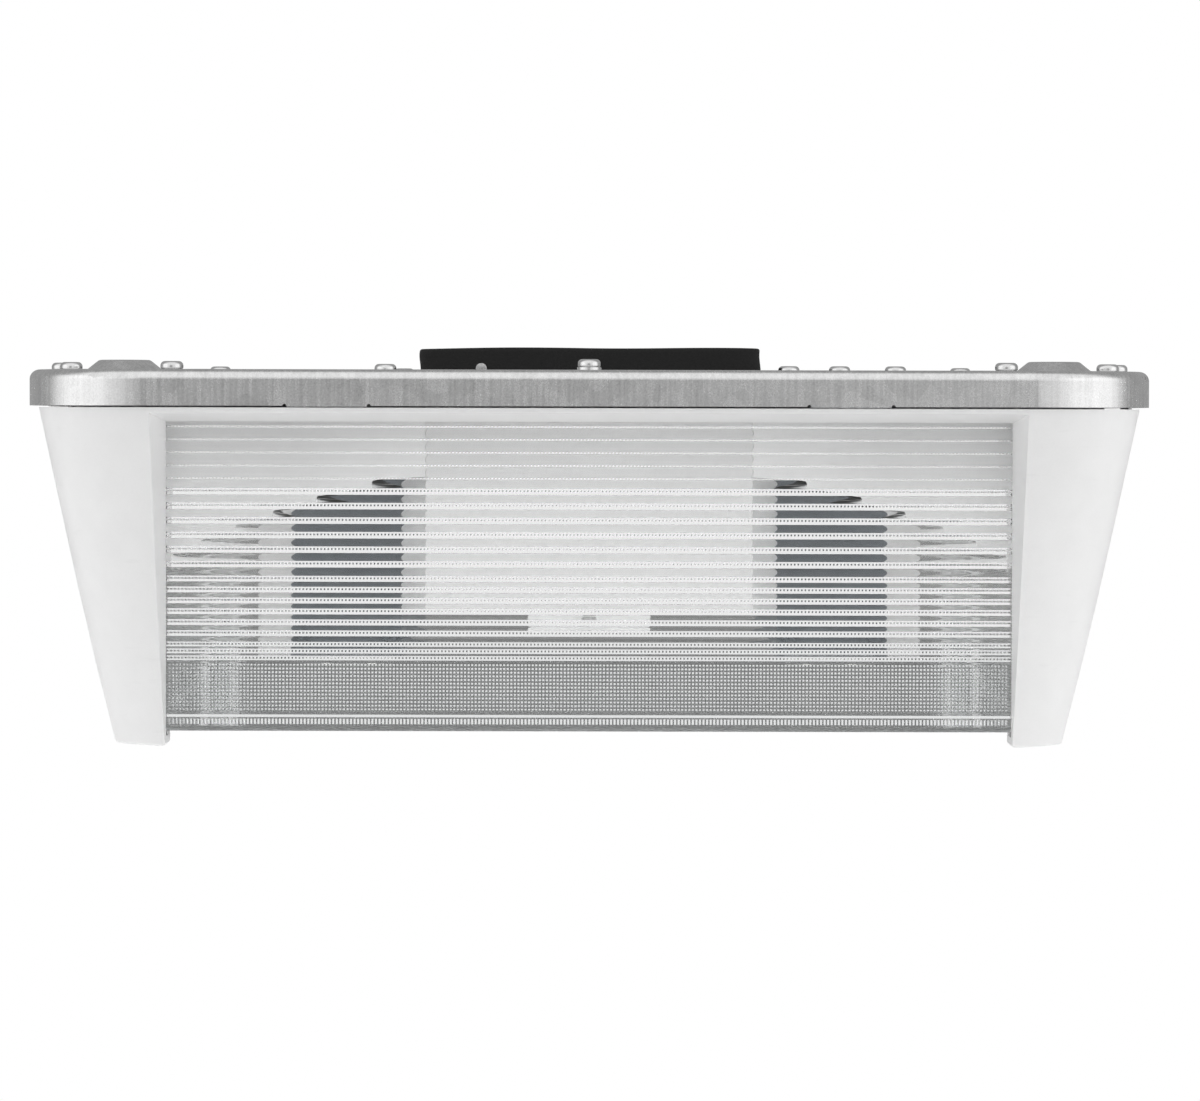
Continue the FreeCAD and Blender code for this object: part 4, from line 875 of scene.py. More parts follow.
class ShellMesh:
    """Gathers points and faces, and adds closed shells that are made from outlines."""

    def __init__(self) -> None:
        """Start empty."""
        self.points: list[Triple] = []
        self.faces: list[list[int]] = []

    def plate(self, outline: list[Pair], low: float, high: float) -> None:
        """Add a closed plate.

        Args:
            outline: Its outline.
            low: Height of its underside.
            high: Height of its top.
        """
        base, count = len(self.points), len(outline)
        for z in (low, high):
            self.points.extend((x, y, z) for x, y in outline)
        self.faces.append([base + step for step in reversed(range(count))])
        self.faces.append([base + count + step for step in range(count)])
        for step in range(count):
            after = (step + 1) % count
            self.faces.append([base + step, base + after, base + count + after, base + count + step])

    def ring(self, outer: list[Pair], inner: list[Pair], section: list[Pair]) -> None:
        """Add a closed ring.

        Args:
            outer: Its outer outline.
            inner: Its inner outline, with as many points.
            section: Its section as (share of the way in, height).
        """
        base, count = len(self.points), len(outer)
        for share, z in section:
            for (x, y), (in_x, in_y) in zip(outer, inner):
                self.points.append((x + share * (in_x - x), y + share * (in_y - y), z))
        for band in range(len(section)):
            first, second = base + band * count, base + (band + 1) % len(section) * count
            for step in range(count):
                after = (step + 1) % count
                self.faces.append([first + step, first + after, second + after, second + step])

    def make(self, name: str, crease: float) -> bpy.types.Object:
        """Make an object of what was gathered.

        Args:
            name: The object's name.
            crease: The angle in degrees up to which it is shaded smooth.

        Returns:
            The object, linked to the scene.
        """
        mesh = bpy.data.meshes.new(name)
        mesh.from_pydata(self.points, [], self.faces)
        mesh.validate()
        piece = bpy.data.objects.new(name, mesh)
        bpy.context.scene.collection.objects.link(piece)
        close_and_shade(piece, crease)
        return piece


class PaneMesh(ShellMesh):
    """Gathers points and faces of one side of the refractor, and joins points that meet.

    Args:
        half: From the middle of the tray to the side's outer face.
    """

    # Points that round to the same place at so many steps to a metre are one
    JOIN_STEPS = 1e7

    def __init__(self, half: float) -> None:
        """Start empty, at a distance from the middle."""
        super().__init__()
        self.half = half
        self.known: dict[tuple, int] = {}

    def point(self, along: float, depth: float, z: float) -> int:
        """The number of a point, made on first use.

        Args:
            along: The place along the side.
            depth: The distance in from the outer face.
            z: The height.

        Returns:
            The point's number.
        """
        key = tuple(round(way * self.JOIN_STEPS) for way in (along, depth, z))
        if key not in self.known:
            self.known[key] = len(self.points)
            self.points.append((along, depth - self.half, z))
        return self.known[key]

    def face(self, corners: list[Triple]) -> None:
        """Add a face, unless its corners fall into a line or a point.

        Args:
            corners: Its corners as (along, depth, z).
        """
        numbers = [self.point(*corner) for corner in corners]
        clean = [n for i, n in enumerate(numbers) if n != numbers[i - 1]]
        if len(clean) > 2:
            self.faces.append(clean)

    def band(self, z: float, low: float, near: Triple, far: Triple) -> None:
        """Add a face between two heights, from one place along the side to another.

        Args:
            z: The upper height.
            low: The lower height.
            near: The first place, with its depths at the upper and the lower height.
            far: The second place, with its depths.
        """
        along, here, below = near
        out, out_here, out_below = far
        self.face([(along, here, z), (along, below, low), (out, out_below, low), (out, out_here, z)])


@dataclass(frozen=True)
class PrismZone:
    """A run of equal prisms down the refractor's side.

    Each has a flute outside, and inside at its top an upper ridge, a row of dots and a lower ridge.

    Attributes:
        count: How many there are.
        pitch: From one to the next.
        upper: Width of the upper ridge.
        dots: Height of the row of dots.
        lower: Width of the lower ridge.
        flute: Radius of the flute outside.
    """

    count: int
    pitch: float
    upper: float
    dots: float
    lower: float
    flute: float = 9.0 * MM


@dataclass(frozen=True)
class Prism:
    """One prism.

    Attributes:
        zone: The run that it belongs to.
        top: Height of its top.
        foot: Height of its foot.
    """

    zone: PrismZone
    top: float
    foot: float

    @property
    def bright(self) -> float:
        """Height of the ridges and dots together."""
        return self.zone.upper + self.zone.dots + self.zone.lower


@dataclass
class Refractor:
    """The clear tray: four prismatic sides, and a floor with the corners and the flange.

    Attributes:
        flange_width: From the side's outer face to the flange's edge.
        flange_height: Thickness of the flange.
        flange_corner: Radius of the flange's corners.
        wall: Thickness of the sides.
        floor: Thickness of the floor.
        corner: Radius of the outer corners.
        pane_half: Half the length of a side between the corners.
        prism_half: Half the length of the prisms on a side.
        transition: Length over which the flutes run out at both ends.
        seam: The hair's breadth between a side and the tray.
        prism_top: Height of the first prism.
        zones: The runs of prisms from the top down, with the fine mesh and the bright lip last.
        flute_steps: How many faces a flute has.
        flute_end: How far from the last prism's foot the flutes end and the plain edge starts.
        rib_pitch: Pitch of the dots and of the upright ribs at the foot.
        rib_rise: From the floor to the ribs' foot.
        dot_share: The share of the pitch that a dot takes.
        edge_round: Radius of the foot's outer edge.
        edge_steps: How many faces that edge has.
        crease: The angle in degrees up to which faces are shaded smooth.
        sides: Names of the sides, anticlockwise from above.
    """

    flange_width: float = 11.4 * MM
    flange_height: float = 2.5 * MM
    flange_corner: float = 10.5 * MM
    wall: float = 3.0 * MM
    floor: float = 1.8 * MM
    corner: float = 30.0 * MM
    pane_half: float = 155.0 * MM
    prism_half: float = 153.6 * MM
    transition: float = 0.5 * MM
    seam: float = 0.04 * MM
    prism_top: float = -20.4 * MM
    zones: tuple[PrismZone, ...] = (
        PrismZone(5, 4.7 * MM, 0.16 * MM, 0.3 * MM, 0.24 * MM),
        PrismZone(6, 5.27 * MM, 0.65 * MM, 0.65 * MM, 1.2 * MM),
        PrismZone(6, 3.95 * MM, 0.6 * MM, 0.65 * MM, 1.0 * MM, 7.0 * MM),
        PrismZone(3, 2.5 * MM, 0.5 * MM, 0.7 * MM, 0.6 * MM, 5.0 * MM),
        PrismZone(13, 1.345 * MM, 0.0, 0.8 * MM, 0.0, 4.0 * MM),
        PrismZone(1, 1.0 * MM, 0.0, 0.0, 0.0, 20.0 * MM),
        PrismZone(1, 1.0 * MM, 1.0 * MM, 0.0, 0.0, 20.0 * MM),
    )
    flute_steps: int = 8
    flute_end: float = 0.1 * MM
    rib_pitch: float = 1.29 * MM
    rib_rise: float = 0.7 * MM
    dot_share: float = 0.58
    edge_round: float = 1.5 * MM
    edge_steps: int = 4
    crease: float = 28.0
    sides: tuple[str, ...] = ("front", "right", "rear", "left")

    def __post_init__(self) -> None:
        """Take the heights and the outer size from the frame, and place prisms and dots."""
        low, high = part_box("refractor")
        self.bottom, self.flange_top = low.z, high.z
        self.flange_bottom = high.z - self.flange_height
        self.flange_half = high.x
        self.half = high.x - self.flange_width
        self.floor_top = self.bottom + self.floor
        self.pane_top = self.flange_bottom - self.seam
        self.prisms = self.stack_prisms()
        self.rib_top = self.prisms[-1].foot
        self.dots = self.space_dots()

    def stack_prisms(self) -> list[Prism]:
        """Stack the prisms.

        Returns:
            All the prisms from the top down.
        """
        rows, z = [], self.prism_top
        for zone in self.zones:
            for _ in range(zone.count):
                rows.append(Prism(zone, z, z - zone.pitch))
                z -= zone.pitch
        return rows

    def space_dots(self) -> list[Pair]:
        """Space the dots of a row.

        Returns:
            Start and end of each along a side.
        """
        count = int(2 * (self.prism_half - self.rib_pitch) / self.rib_pitch)
        first, width = -count * self.rib_pitch / 2, self.rib_pitch * self.dot_share
        starts = [first + step * self.rib_pitch for step in range(count)]
        return [(start, start + width) for start in starts]

    def flute(self, prism: Prism, after: float) -> list[Pair]:
        """A convex flute as (z, depth), deepest at both ends, with its crest in the outer face.

        Args:
            prism: The prism that it belongs to.
            after: Half the height of the next prism's ridges and dots.

        Returns:
            The points from the top down.
        """
        top, foot = prism.top - prism.bright / 2, prism.foot + after
        middle, half, radius = (top + foot) / 2, (top - foot) / 2, prism.zone.flute
        swing = math.asin(min(1.0, half / radius))
        angles = [swing - 2 * swing * step / self.flute_steps for step in range(self.flute_steps + 1)]
        return [(middle + radius * math.sin(a), radius * (1 - math.cos(a))) for a in angles]

    def outer_profile(self) -> list[Pair]:
        """The outer face's section.

        Returns:
            Its points from the top down, as (z, depth).
        """
        rows = [(self.pane_top, 0.0), (self.prism_top + self.prisms[0].bright, 0.0)]
        for prism, following in zip(self.prisms, self.prisms[1:] + [None]):
            rows += self.flute(prism, following.bright / 2 if following else self.flute_end)
        rows.append((self.rib_top - self.flute_end, 0.0))
        centre = self.bottom + self.edge_round
        for step in range(self.edge_steps + 1):
            angle = math.pi / 2 * step / self.edge_steps
            rows.append((centre - self.edge_round * math.sin(angle), self.edge_round * (1 - math.cos(angle))))
        return rows

    def build_outer(self, pane: PaneMesh) -> None:
        """The outer face: flutes in the middle, and a plain margin at both ends.

        Args:
            pane: The side that gets the faces.
        """
        rows, reach = self.outer_profile(), self.prism_half
        for (z, depth), (low, low_depth) in zip(rows, rows[1:]):
            pane.band(z, low, (-reach, depth, low_depth), (reach, depth, low_depth))
            plain = depth if z < self.rib_top else 0.0
            low_plain = low_depth if low < self.rib_top else 0.0
            for side in (-1, 1):
                fluted = (side * reach, depth, low_depth)
                margin = (side * (reach + self.transition), plain, low_plain)
                pane.band(z, low, fluted, margin)
                pane.band(z, low, margin, (side * self.pane_half, plain, low_plain))

    def straight(self, z: float) -> list[Triple]:
        """A plain line of the inner face, from end to end."""
        return [(-self.prism_half, self.wall, z), (self.prism_half, self.wall, z)]

    def dot_line(self, z: float) -> list[Triple]:
        """A line of the inner face along the edge of a row of dots, from end to end."""
        places = [-self.prism_half, *(place for dot in self.dots for place in dot), self.prism_half]
        return [(place, self.wall, z) for place in places]

    def dot_row(self, pane: PaneMesh, top: float, foot: float) -> None:
        """A level row of dots inside, each a short right-angled roof that stands upright.

        Args:
            pane: The side that gets the faces.
            top: The row's top.
            foot: Its foot.
        """
        wall, last = self.wall, -self.prism_half
        for start, end in self.dots:
            middle, crest = (start + end) / 2, wall + (end - start) / 2
            pane.face([(last, wall, top), (start, wall, top), (start, wall, foot), (last, wall, foot)])
            pane.face([(start, wall, top), (middle, crest, top), (middle, crest, foot), (start, wall, foot)])
            pane.face([(middle, crest, top), (end, wall, top), (end, wall, foot), (middle, crest, foot)])
            for z in (top, foot):
                pane.face([(start, wall, z), (middle, crest, z), (end, wall, z)])
            last = end
        reach = self.prism_half
        pane.face([(last, wall, top), (reach, wall, top), (reach, wall, foot), (last, wall, foot)])

    def ridge(self, pane: PaneMesh, above: list[Triple], below: list[Triple]) -> None:
        """A level right-angled ridge inside, between two lines of the wall.

        Args:
            pane: The side that gets the faces.
            above: The line at its top, from end to end.
            below: The line at its foot, from end to end.
        """
        top, foot, reach = above[0][2], below[0][2], self.prism_half
        crest, middle = self.wall + (top - foot) / 2, (top + foot) / 2
        peak = [(-reach, crest, middle), (reach, crest, middle)]
        pane.face(above + peak[::-1])
        pane.face(peak + below[::-1])
        for end in (0, -1):
            pane.face([above[end], peak[end], below[end]])

    def build_inner(self, pane: PaneMesh) -> None:
        """The inner face: ridges and dots, then upright ribs down to the floor, which are tall dots.

        Args:
            pane: The side that gets the faces.
        """
        levels, edge = [self.pane_top], self.straight(self.pane_top)
        for prism in self.prisms:
            zone, top = prism.zone, prism.top + prism.bright / 2
            dots_top = top - zone.upper
            dots_foot = dots_top - zone.dots
            line = self.dot_line if zone.dots else self.straight
            above, below = line(dots_top), line(dots_foot)
            first = self.straight(top) if zone.upper else above
            pane.face(edge + first[::-1])
            if zone.upper:
                self.ridge(pane, first, above)
            if zone.dots:
                self.dot_row(pane, dots_top, dots_foot)
            edge = below
            if zone.lower:
                edge = self.straight(dots_foot - zone.lower)
                self.ridge(pane, below, edge)
            levels += [top, dots_top, dots_foot, edge[0][2]]
        rib_foot = self.floor_top + self.rib_rise
        pane.face(edge + self.dot_line(self.rib_top)[::-1])
        self.dot_row(pane, self.rib_top, rib_foot)
        pane.face(self.dot_line(rib_foot) + self.straight(self.bottom)[::-1])
        levels += [self.rib_top, rib_foot, self.bottom]
        for side in (-1, 1):
            inner = [(side * self.prism_half, self.wall, z) for z in levels]
            far = side * self.pane_half
            pane.face(inner + [(far, self.wall, self.bottom), (far, self.wall, self.pane_top)])

    def build_rims(self, pane: PaneMesh) -> None:
        """The side's top, foot and ends.

        Args:
            pane: The side that gets the faces.
        """
        profile = self.outer_profile()
        stops = [-self.pane_half, -self.prism_half - self.transition, -self.prism_half]
        stops += [-stop for stop in reversed(stops)]
        back = [self.pane_half, self.prism_half, -self.prism_half, -self.pane_half]
        for z, depth in (profile[0], profile[-1]):
            pane.face([(along, depth, z) for along in stops] + [(along, self.wall, z) for along in back])
        for end in (-self.pane_half, self.pane_half):
            outer = [(end, depth if z < self.rib_top else 0.0, z) for z, depth in profile]
            pane.face(outer + [(end, self.wall, self.bottom), (end, self.wall, self.pane_top)])

    def build_panes(self) -> list[bpy.types.Object]:
        """The four prismatic sides: the front one, and its copies turned about the middle.

        Returns:
            The sides.
        """
        pane = PaneMesh(self.half)
        self.build_outer(pane)
        self.build_inner(pane)
        self.build_rims(pane)
        front, *others = ["refractor_" + side for side in self.sides]
        panes = [pane.make(front, self.crease)]
        for quarter, name in enumerate(others, 1):
            copy = bpy.data.objects.new(name, panes[0].data.copy())
            copy.data.transform(Matrix.Rotation(math.pi / 2 * quarter, 4, "Z"))
            bpy.context.scene.collection.objects.link(copy)
            panes.append(copy)
        return panes

    def build_tray(self) -> bpy.types.Object:
        """The floor, the corners and the flange.

        Returns:
            The tray.
        """
        shells = ShellMesh()
        inner_half, inner_corner = self.half - self.wall, self.corner - self.wall
        inner_ring = rounded_square(inner_half, inner_corner)
        outer_ring = rounded_square(self.half, self.corner)
        flange = rounded_square(self.flange_half, self.flange_corner)
        low, high = self.flange_bottom, self.flange_top
        shells.ring(flange, inner_ring, [(0, low), (0, high), (1, high), (1, low)])
        shells.plate(rounded_square(inner_half - self.seam, inner_corner), self.bottom, self.floor_top)
        for outer, inner in zip(quarters(outer_ring), quarters(inner_ring)):
            corner = beyond(outer + inner[::-1], self.pane_half + self.seam)
            shells.plate(corner, self.bottom, self.pane_top)
        return shells.make("refractor_tray", self.crease)

    def build(self) -> None:
        """Make the tray and its four sides."""
        for piece in (self.build_tray(), *self.build_panes()):
            settle(piece, Ride.FRAME, "clear_lens", "refractor")


@dataclass
class SoftSeals:
    """The seals of the frame: a foam strip on its collar, a flat seal and four pads for the refractor.

    Attributes:
        strip_wall: Width of the foam strip.
        seal_wall: Width of the flat seal.
        collar_corner: Radius of the outer corners of both.
        lens_corner: Radius of the flat seal's inner corners.
        pad_corner: Radius of a pad's outer corner.
        pad_start: From the middle to the near edges of a pad.
        pad_round: Radius of a pad's edges.
        pad_steps: How many faces such an edge has.
        pad_crease: The angle in degrees up to which a pad is shaded smooth.
        softness: How round the strips' sections are: 2 is an ellipse, more is squarer.
        section_steps: How many faces a section has.
        crease: The angle in degrees up to which the strips are shaded smooth.
    """

    strip_wall: float = 2.3 * MM
    seal_wall: float = 10.6 * MM
    collar_corner: float = 10.5 * MM
    lens_corner: float = 30.8 * MM
    pad_corner: float = 28.5 * MM
    pad_start: float = 153.1 * MM
    pad_round: float = 0.35 * MM
    pad_steps: int = 3
    pad_crease: float = 40.0
    softness: float = 4.0
    section_steps: int = 20
    crease: float = 50.0

    def section(self, low: float, high: float) -> list[Pair]:
        """A soft section between two heights.

        Args:
            low: Height of its underside.
            high: Height of its top.

        Returns:
            Its points as (share of the way in, height).
        """
        points, power = [], 2 / self.softness
        for step in range(self.section_steps):
            angle = 2 * math.pi * step / self.section_steps
            across, up = math.cos(angle), math.sin(angle)
            share = 0.5 - math.copysign(abs(across) ** power, across) / 2
            rise = math.copysign(abs(up) ** power, up) / 2
            points.append((share, (low + high) / 2 + rise * (high - low)))
        return points

    def build_ring(self, name: str, node: str, wall: float, inner_corner: float) -> bpy.types.Object:
        """A soft ring in a node's place.

        Args:
            name: The piece's name.
            node: The node that it stands for.
            wall: The ring's width.
            inner_corner: Radius of its inner corners.

        Returns:
            The ring.
        """
        low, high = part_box(node)
        shells = ShellMesh()
        outer = rounded_square(high.x, self.collar_corner)
        shells.ring(outer, rounded_square(high.x - wall, inner_corner), self.section(low.z, high.z))
        return shells.make(name, self.crease)

    def build_pads(self) -> bpy.types.Object:
        """The four pads under the refractor's corners, with soft edges.

        Returns:
            The pads.
        """
        low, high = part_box("lens_pads")
        shells, start = ShellMesh(), self.pad_start
        centre = high.x - self.pad_corner
        edge = centre + math.sqrt(self.pad_corner ** 2 - (start - centre) ** 2)
        for quarter, corner in enumerate(quarters(rounded_square(high.x, self.pad_corner))):
            arc = beyond(corner, start)
            across, up = math.copysign(start, arc[0][0]), math.copysign(start, arc[0][1])
            ends = [(math.copysign(edge, across), up), (across, math.copysign(edge, up))]
            if quarter % 2:
                ends.reverse()
            shells.plate([ends[0], *arc, ends[1], (across, up)], low.z, high.z)
        piece = shells.make("soft_pads", self.pad_crease)
        soft = piece.modifiers.new("soft", "BEVEL")
        soft.width = self.pad_round
        soft.segments = self.pad_steps
        soft.limit_method = "ANGLE"
        bpy.ops.object.modifier_apply(modifier=soft.name)
        return piece

    def build(self) -> None:
        """Make the three seals."""
        strip_corner = self.collar_corner - self.strip_wall
        strip = self.build_ring("collar_foam", "frame_gasket", self.strip_wall, strip_corner)
        settle(strip, Ride.FRAME, "black_foam", "frame_gasket")
        flat = self.build_ring("flange_seal", "lens_gasket", self.seal_wall, self.lens_corner)
        settle(flat, Ride.FRAME, "pale_seal", "lens_gasket")
        settle(self.build_pads(), Ride.FRAME, "pale_seal", "lens_pads")


@dataclass
class FoamRing:
    """The cut foam gasket on top of the pan.

    Attributes:
        wall: Width of the ring's sides.
        corner: Radius of its outer corners.
        corner_steps: How many faces a corner has.
        voxel: Size of the fine cut.
        wave: How far its cut top dips.
        firm: The share of its height that doesn't dip.
        waver: How far its sides waver.
        crease: The angle in degrees up to which it is shaded smooth.
    """

    wall: float = 12.0 * MM
    corner: float = 8.0 * MM
    corner_steps: int = 6
    voxel: float = 0.8 * MM
    wave: float = 0.9 * MM
    firm: float = 0.4
    waver: float = 0.25 * MM
    crease: float = 40.0

    def build(self) -> None:
        """Model the ring from a block: round its corners, open it, then let its top dip."""
        low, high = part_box("mounting_gasket")
        deselect_all()
        bpy.ops.mesh.primitive_cube_add(size=1.0, location=(low + high) / 2, scale=high - low)
        piece = bpy.context.object
        piece.name = "foam_ring"
        bpy.ops.object.transform_apply(location=True, rotation=True, scale=True)
        bpy.ops.object.mode_set(mode="EDIT")
        select_only(piece, Pick.EDGES, stands)
        bpy.ops.mesh.bevel(offset=self.corner, segments=self.corner_steps, affect="EDGES")
        select_only(piece, Pick.FACES, lies)
        bpy.ops.mesh.inset(thickness=self.wall, use_even_offset=True)
        bpy.ops.mesh.bridge_edge_loops()
        bpy.ops.object.mode_set(mode="OBJECT")
        self.soften(piece, high.z)
        settle(piece, Ride.CANOPY, "black_foam", "mounting_gasket")

    def dip(self, x: float, y: float) -> float:
        """How far the cut top dips at a place, from 0 to 1: a short ripple and a longer drift.

        Args:
            x: The place across the ring.
            y: The place along it.

        Returns:
            The share of the wave.
        """
        ripple = math.sin(x * 75.0 + 1.1 * math.sin(y * 60.0))
        drift = math.sin(x * 31.0 + y * 40.0 + 0.6)
        return 0.5 + 0.25 * ripple + 0.25 * drift

    def soften(self, piece: bpy.types.Object, top: float) -> None:
        """Cut the ring finely and let its top dip unevenly, never above its height.

        Args:
            piece: The ring.
            top: Its height.
        """
        activate(piece)
        grid = piece.modifiers.new("fine", "REMESH")
        grid.mode = "VOXEL"
        grid.voxel_size = self.voxel
        bpy.ops.object.modifier_apply(modifier=grid.name)
        for vertex in piece.data.vertices:
            x, y, z = vertex.co
            share = max(0.0, (z - top * self.firm) / (top * (1 - self.firm)))
            vertex.co.z = min(top, z) - self.wave * share * self.dip(x, y)
            vertex.co.x = x + self.waver * math.sin(z * 500.0 + y * 90.0)
        bpy.ops.object.shade_smooth_by_angle(angle=math.radians(self.crease))


@dataclass
class CadDressing:
    """Gives each node the finish of its slot, and the reflectors a brighter paint: painted light that makes
    up for the dim light inside the fitting.

    Attributes:
        reflectors: The nodes with the brighter paint, which is painted light.
    """

    reflectors: tuple[str, ...] = ("reflector_left", "reflector_right")

    def build(self) -> None:
        """Assign the finishes."""
        finishes = {row["node"]: row["material_slot"] for row in frame["record"]["subparts"]}
        # Painted light: the reflectors take the brighter copy of the white paint instead of their slot's
        # finish.
        finishes.update(dict.fromkeys(self.reflectors, "brightened_reflector_paint"))
        for name, piece in frame["nodes"].items():
            piece.data.materials.clear()
            piece.data.materials.append(finish(finishes[name]))
            LOG.info("%s: %s", name, finishes[name])


@dataclass(frozen=True)
class SoftBox:
    """A square area light that faces the canopy light.

    Attributes:
        name: Its name.
        place: Where it stands.
        size: Its width.
        power: Its power in watts.
        shown: Whether metal and glass show it.
    """

    name: str
    place: Triple
    size: float
    power: float
    shown: bool = False


@dataclass
class Studio:
    """The floor, the soft light and the camera.

    Attributes:
        floor: Height of the floor, well under the light.
        floor_size: Width of the floor.
        floor_paint: Colour of the floor.
        floor_shown: How bright the floor is to metal and glass.
        shadow: The share of plain white in the floor under the light; the rest shows the soft shadow.
        shadow_edge: The distances between which the floor turns all white.
        ambient: Strength of the light from all round.
        ahead: What metal sees of the studio on the camera's side.
        ahead_edge: The directions between which that side ends, as their share along Y.
        ahead_lean: How far that side leans to the right.
        behind: What metal sees of the studio on the far side.
        behind_edge: The directions between which the far side starts.
        returned: What the prisms send back from the camera's side.
        returned_edge: The directions between which that side ends for glass.
        passed: What glass shows of the far side.
        passed_edge: The directions between which the far side starts for glass.
        boxes: The lights: two boxes that show, and fills that metal and glass don't show.
        aim: The point that the lights face.
        glass_bounces: How many surfaces a ray through the prisms can meet.
        gloss_bounces: How many reflections a ray can have.
        camera: Where the camera stands.
        tilt: How far it looks down, in degrees.
        roll: How far it leans, in degrees.
        lens: Its focal length in millimetres.
        sensor: Width of its sensor in millimetres.
        clip: The nearest and the furthest that it sees.
    """

    floor: float = -0.62
    floor_size: float = 14.0
    floor_paint: Colour = grey(0.85)
    floor_shown: float = 0.2
    shadow: float = 0.8
    shadow_edge: Pair = (0.6, 1.7)
    ambient: float = 0.16
    ahead: float = 0.33
    ahead_edge: Pair = (-1.0, -0.95)
    ahead_lean: float = 0.06
    behind: float = 0.38
    behind_edge: Pair = (-0.15, 0.2)
    returned: float = 0.86
    returned_edge: Pair = (-0.96, -0.85)
    passed: float = 0.16
    passed_edge: Pair = (-0.2, 0.5)
    boxes: tuple[SoftBox, ...] = (
        SoftBox("left_box", (-1.75, -0.75, 0.0), 2.0, 4.0, shown=True),
        SoftBox("right_box", (1.7, -0.95, 0.0), 2.0, 4.0, shown=True),
        SoftBox("top_fill", (0.0, -0.2, 1.9), 1.6, 10.0),
        SoftBox("front_fill", (0.2, -2.5, -0.95), 1.9, 14.5),
        SoftBox("left_key", (-2.4, -1.1, -0.3), 2.0, 26.0),
        SoftBox("right_key", (2.4, -1.1, -0.3), 2.0, 27.0),
        SoftBox("rear_fill", (0.0, 2.6, -0.5), 2.4, 14.0),
        SoftBox("left_rear", (-2.3, 1.3, -0.3), 2.0, 18.0),
        SoftBox("right_rear", (2.3, 1.3, -0.3), 2.0, 18.0),
        SoftBox("under_fill", (0.0, -0.3, -2.0), 2.0, 14.0),
    )
    aim: Triple = (0.0, 0.0, -0.07)
    glass_bounces: int = 28
    gloss_bounces: int = 12
    camera: Triple = (0.004, -1.863, -0.016)
    tilt: float = 1.658
    roll: float = 0.13
    lens: float = 140.5
    sensor: float = 36.0
    clip: Pair = (0.05, 60.0)

    def build(self) -> None:
        """Set up the whole stage."""
        self.build_floor()
        self.build_world()
        self.build_lights()
        self.build_camera()
        scene = bpy.context.scene
        scene.view_settings.view_transform = "Standard"
        scene.cycles.caustics_refractive = True
        scene.cycles.caustics_reflective = False
        scene.cycles.max_bounces = self.glass_bounces
        scene.cycles.transmission_bounces = self.glass_bounces
        scene.cycles.glossy_bounces = self.gloss_bounces

    def build_floor(self) -> None:
        """A pale floor, white to the camera but for a soft shadow, and open from below."""
        deselect_all()
        bpy.ops.mesh.primitive_plane_add(size=self.floor_size, location=(0.0, 0.0, self.floor))
        floor = bpy.context.object
        floor.name = "floor"
        bpy.ops.object.transform_apply(location=True)
        material = bpy.data.materials.new("pale_floor")
        nodes = NodeTree.fresh(material)
        ray = nodes.add("NodeLightPath").outputs
        away = nodes.add("NodeVectorMath", {"operation": "LENGTH"})
        nodes.feed(away.inputs[0], nodes.place())
        share = nodes.span(away.outputs["Value"], self.shadow, 1.0, *self.shadow_edge)
        seen = nodes.maths("MAXIMUM", ray["Is Glossy Ray"], ray["Is Transmission Ray"])
        seen = nodes.maths("MULTIPLY", seen, self.floor_shown)
        seen = nodes.maths("MULTIPLY", nodes.maths("MAXIMUM", ray["Is Camera Ray"], seen), share)
        paint = nodes.add("NodeBsdfDiffuse", Color=self.floor_paint).outputs["BSDF"]
        glow = nodes.add("NodeEmission", Color=grey(1.0), Strength=1.0).outputs["Emission"]
        clear = nodes.add("NodeBsdfTransparent").outputs["BSDF"]
        below = nodes.add("NodeNewGeometry").outputs["Backfacing"]
        open_way = nodes.maths("MAXIMUM", below, ray["Is Shadow Ray"])
        nodes.show(nodes.mix_shaders(open_way, nodes.mix_shaders(seen, paint, glow), clear))
        floor.data.materials.append(material)

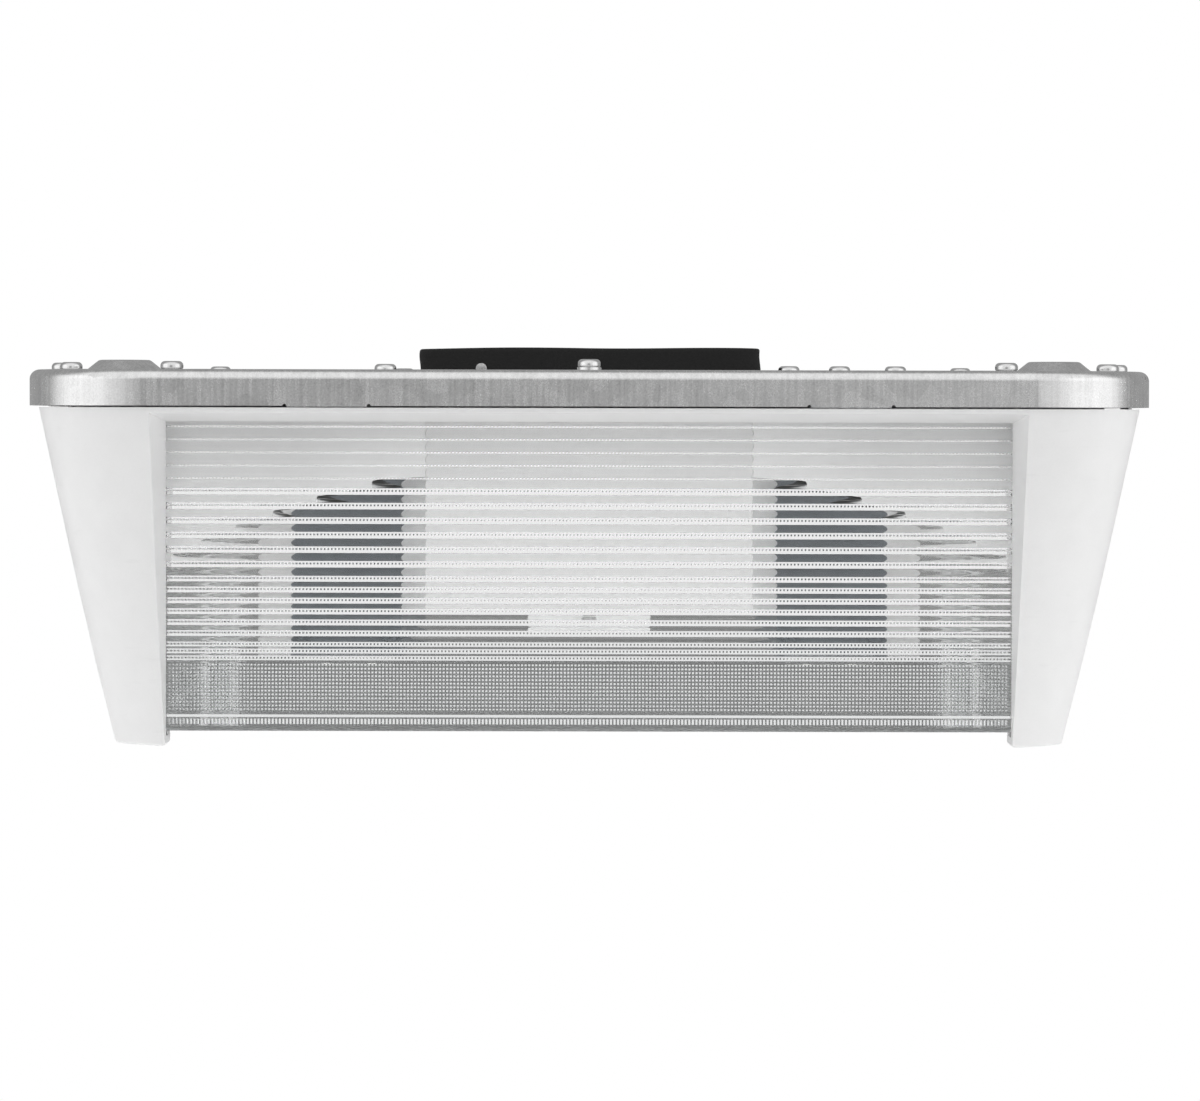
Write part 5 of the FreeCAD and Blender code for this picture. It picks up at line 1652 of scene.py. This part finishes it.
    def build_world(self) -> None:
        """A white background; metal sees a studio that is dimmer ahead and behind than at its sides."""
        world = bpy.data.worlds.new("studio")
        bpy.context.scene.world = world
        nodes = NodeTree.fresh(world)
        ray = nodes.add("NodeLightPath").outputs
        way = nodes.add("NodeSeparateXYZ", Vector=nodes.add("NodeTexCoord").outputs["Generated"]).outputs
        lean = nodes.maths("ADD", way["Y"], nodes.maths("MULTIPLY", way["X"], self.ahead_lean))
        ahead = nodes.span(lean, self.ahead, 1.0, *self.ahead_edge)
        behind = nodes.span(way["Y"], 1.0, self.behind, *self.behind_edge)
        returned = nodes.span(way["Y"], self.returned, 1.0, *self.returned_edge)
        passed = nodes.span(way["Y"], 1.0, self.passed, *self.passed_edge)
        gloss = nodes.maths("MULTIPLY", ahead, behind)
        through = nodes.maths("MULTIPLY", returned, passed)
        strength = nodes.choose(ray["Is Glossy Ray"], self.ambient, gloss)
        strength = nodes.choose(ray["Is Transmission Ray"], strength, through)
        strength = nodes.choose(ray["Is Camera Ray"], strength, 1.0)
        sky = nodes.add("NodeBackground", Color=grey(1.0), Strength=strength)
        nodes.show(sky.outputs["Background"], "NodeOutputWorld")

    def build_lights(self) -> None:
        """Set up the lights, each turned to the aim."""
        for box in self.boxes:
            light = bpy.data.lights.new(box.name, "AREA")
            light.size = box.size
            light.energy = box.power
            light.cycles.use_multiple_importance_sampling = box.shown
            lamp = bpy.data.objects.new(box.name, light)
            lamp.location = box.place
            way = Vector(self.aim) - Vector(box.place)
            lamp.rotation_euler = way.to_track_quat("-Z", "Y").to_euler()
            lamp.visible_glossy = box.shown
            lamp.visible_transmission = box.shown
            bpy.context.scene.collection.objects.link(lamp)

    def build_camera(self) -> None:
        """The camera in front of the light."""
        data = bpy.data.cameras.new("camera")
        data.sensor_width = self.sensor
        data.lens = self.lens
        data.clip_start, data.clip_end = self.clip
        camera = bpy.data.objects.new("camera", data)
        camera.location = self.camera
        turn = Euler((math.radians(90 - self.tilt), 0.0, 0.0)).to_quaternion()
        lean = Euler((0.0, 0.0, math.radians(self.roll))).to_quaternion()
        camera.rotation_euler = (turn @ lean).to_euler()
        bpy.context.scene.collection.objects.link(camera)
        bpy.context.scene.camera = camera


def main() -> None:
    """Build the pieces in order, then the stage."""
    logging.basicConfig(level=logging.INFO, format="%(name)s %(message)s")
    CadDressing().build()
    Refractor().build()
    SoftSeals().build()
    FoamRing().build()
    Studio().build()


if __name__ == "__main__":
    main()
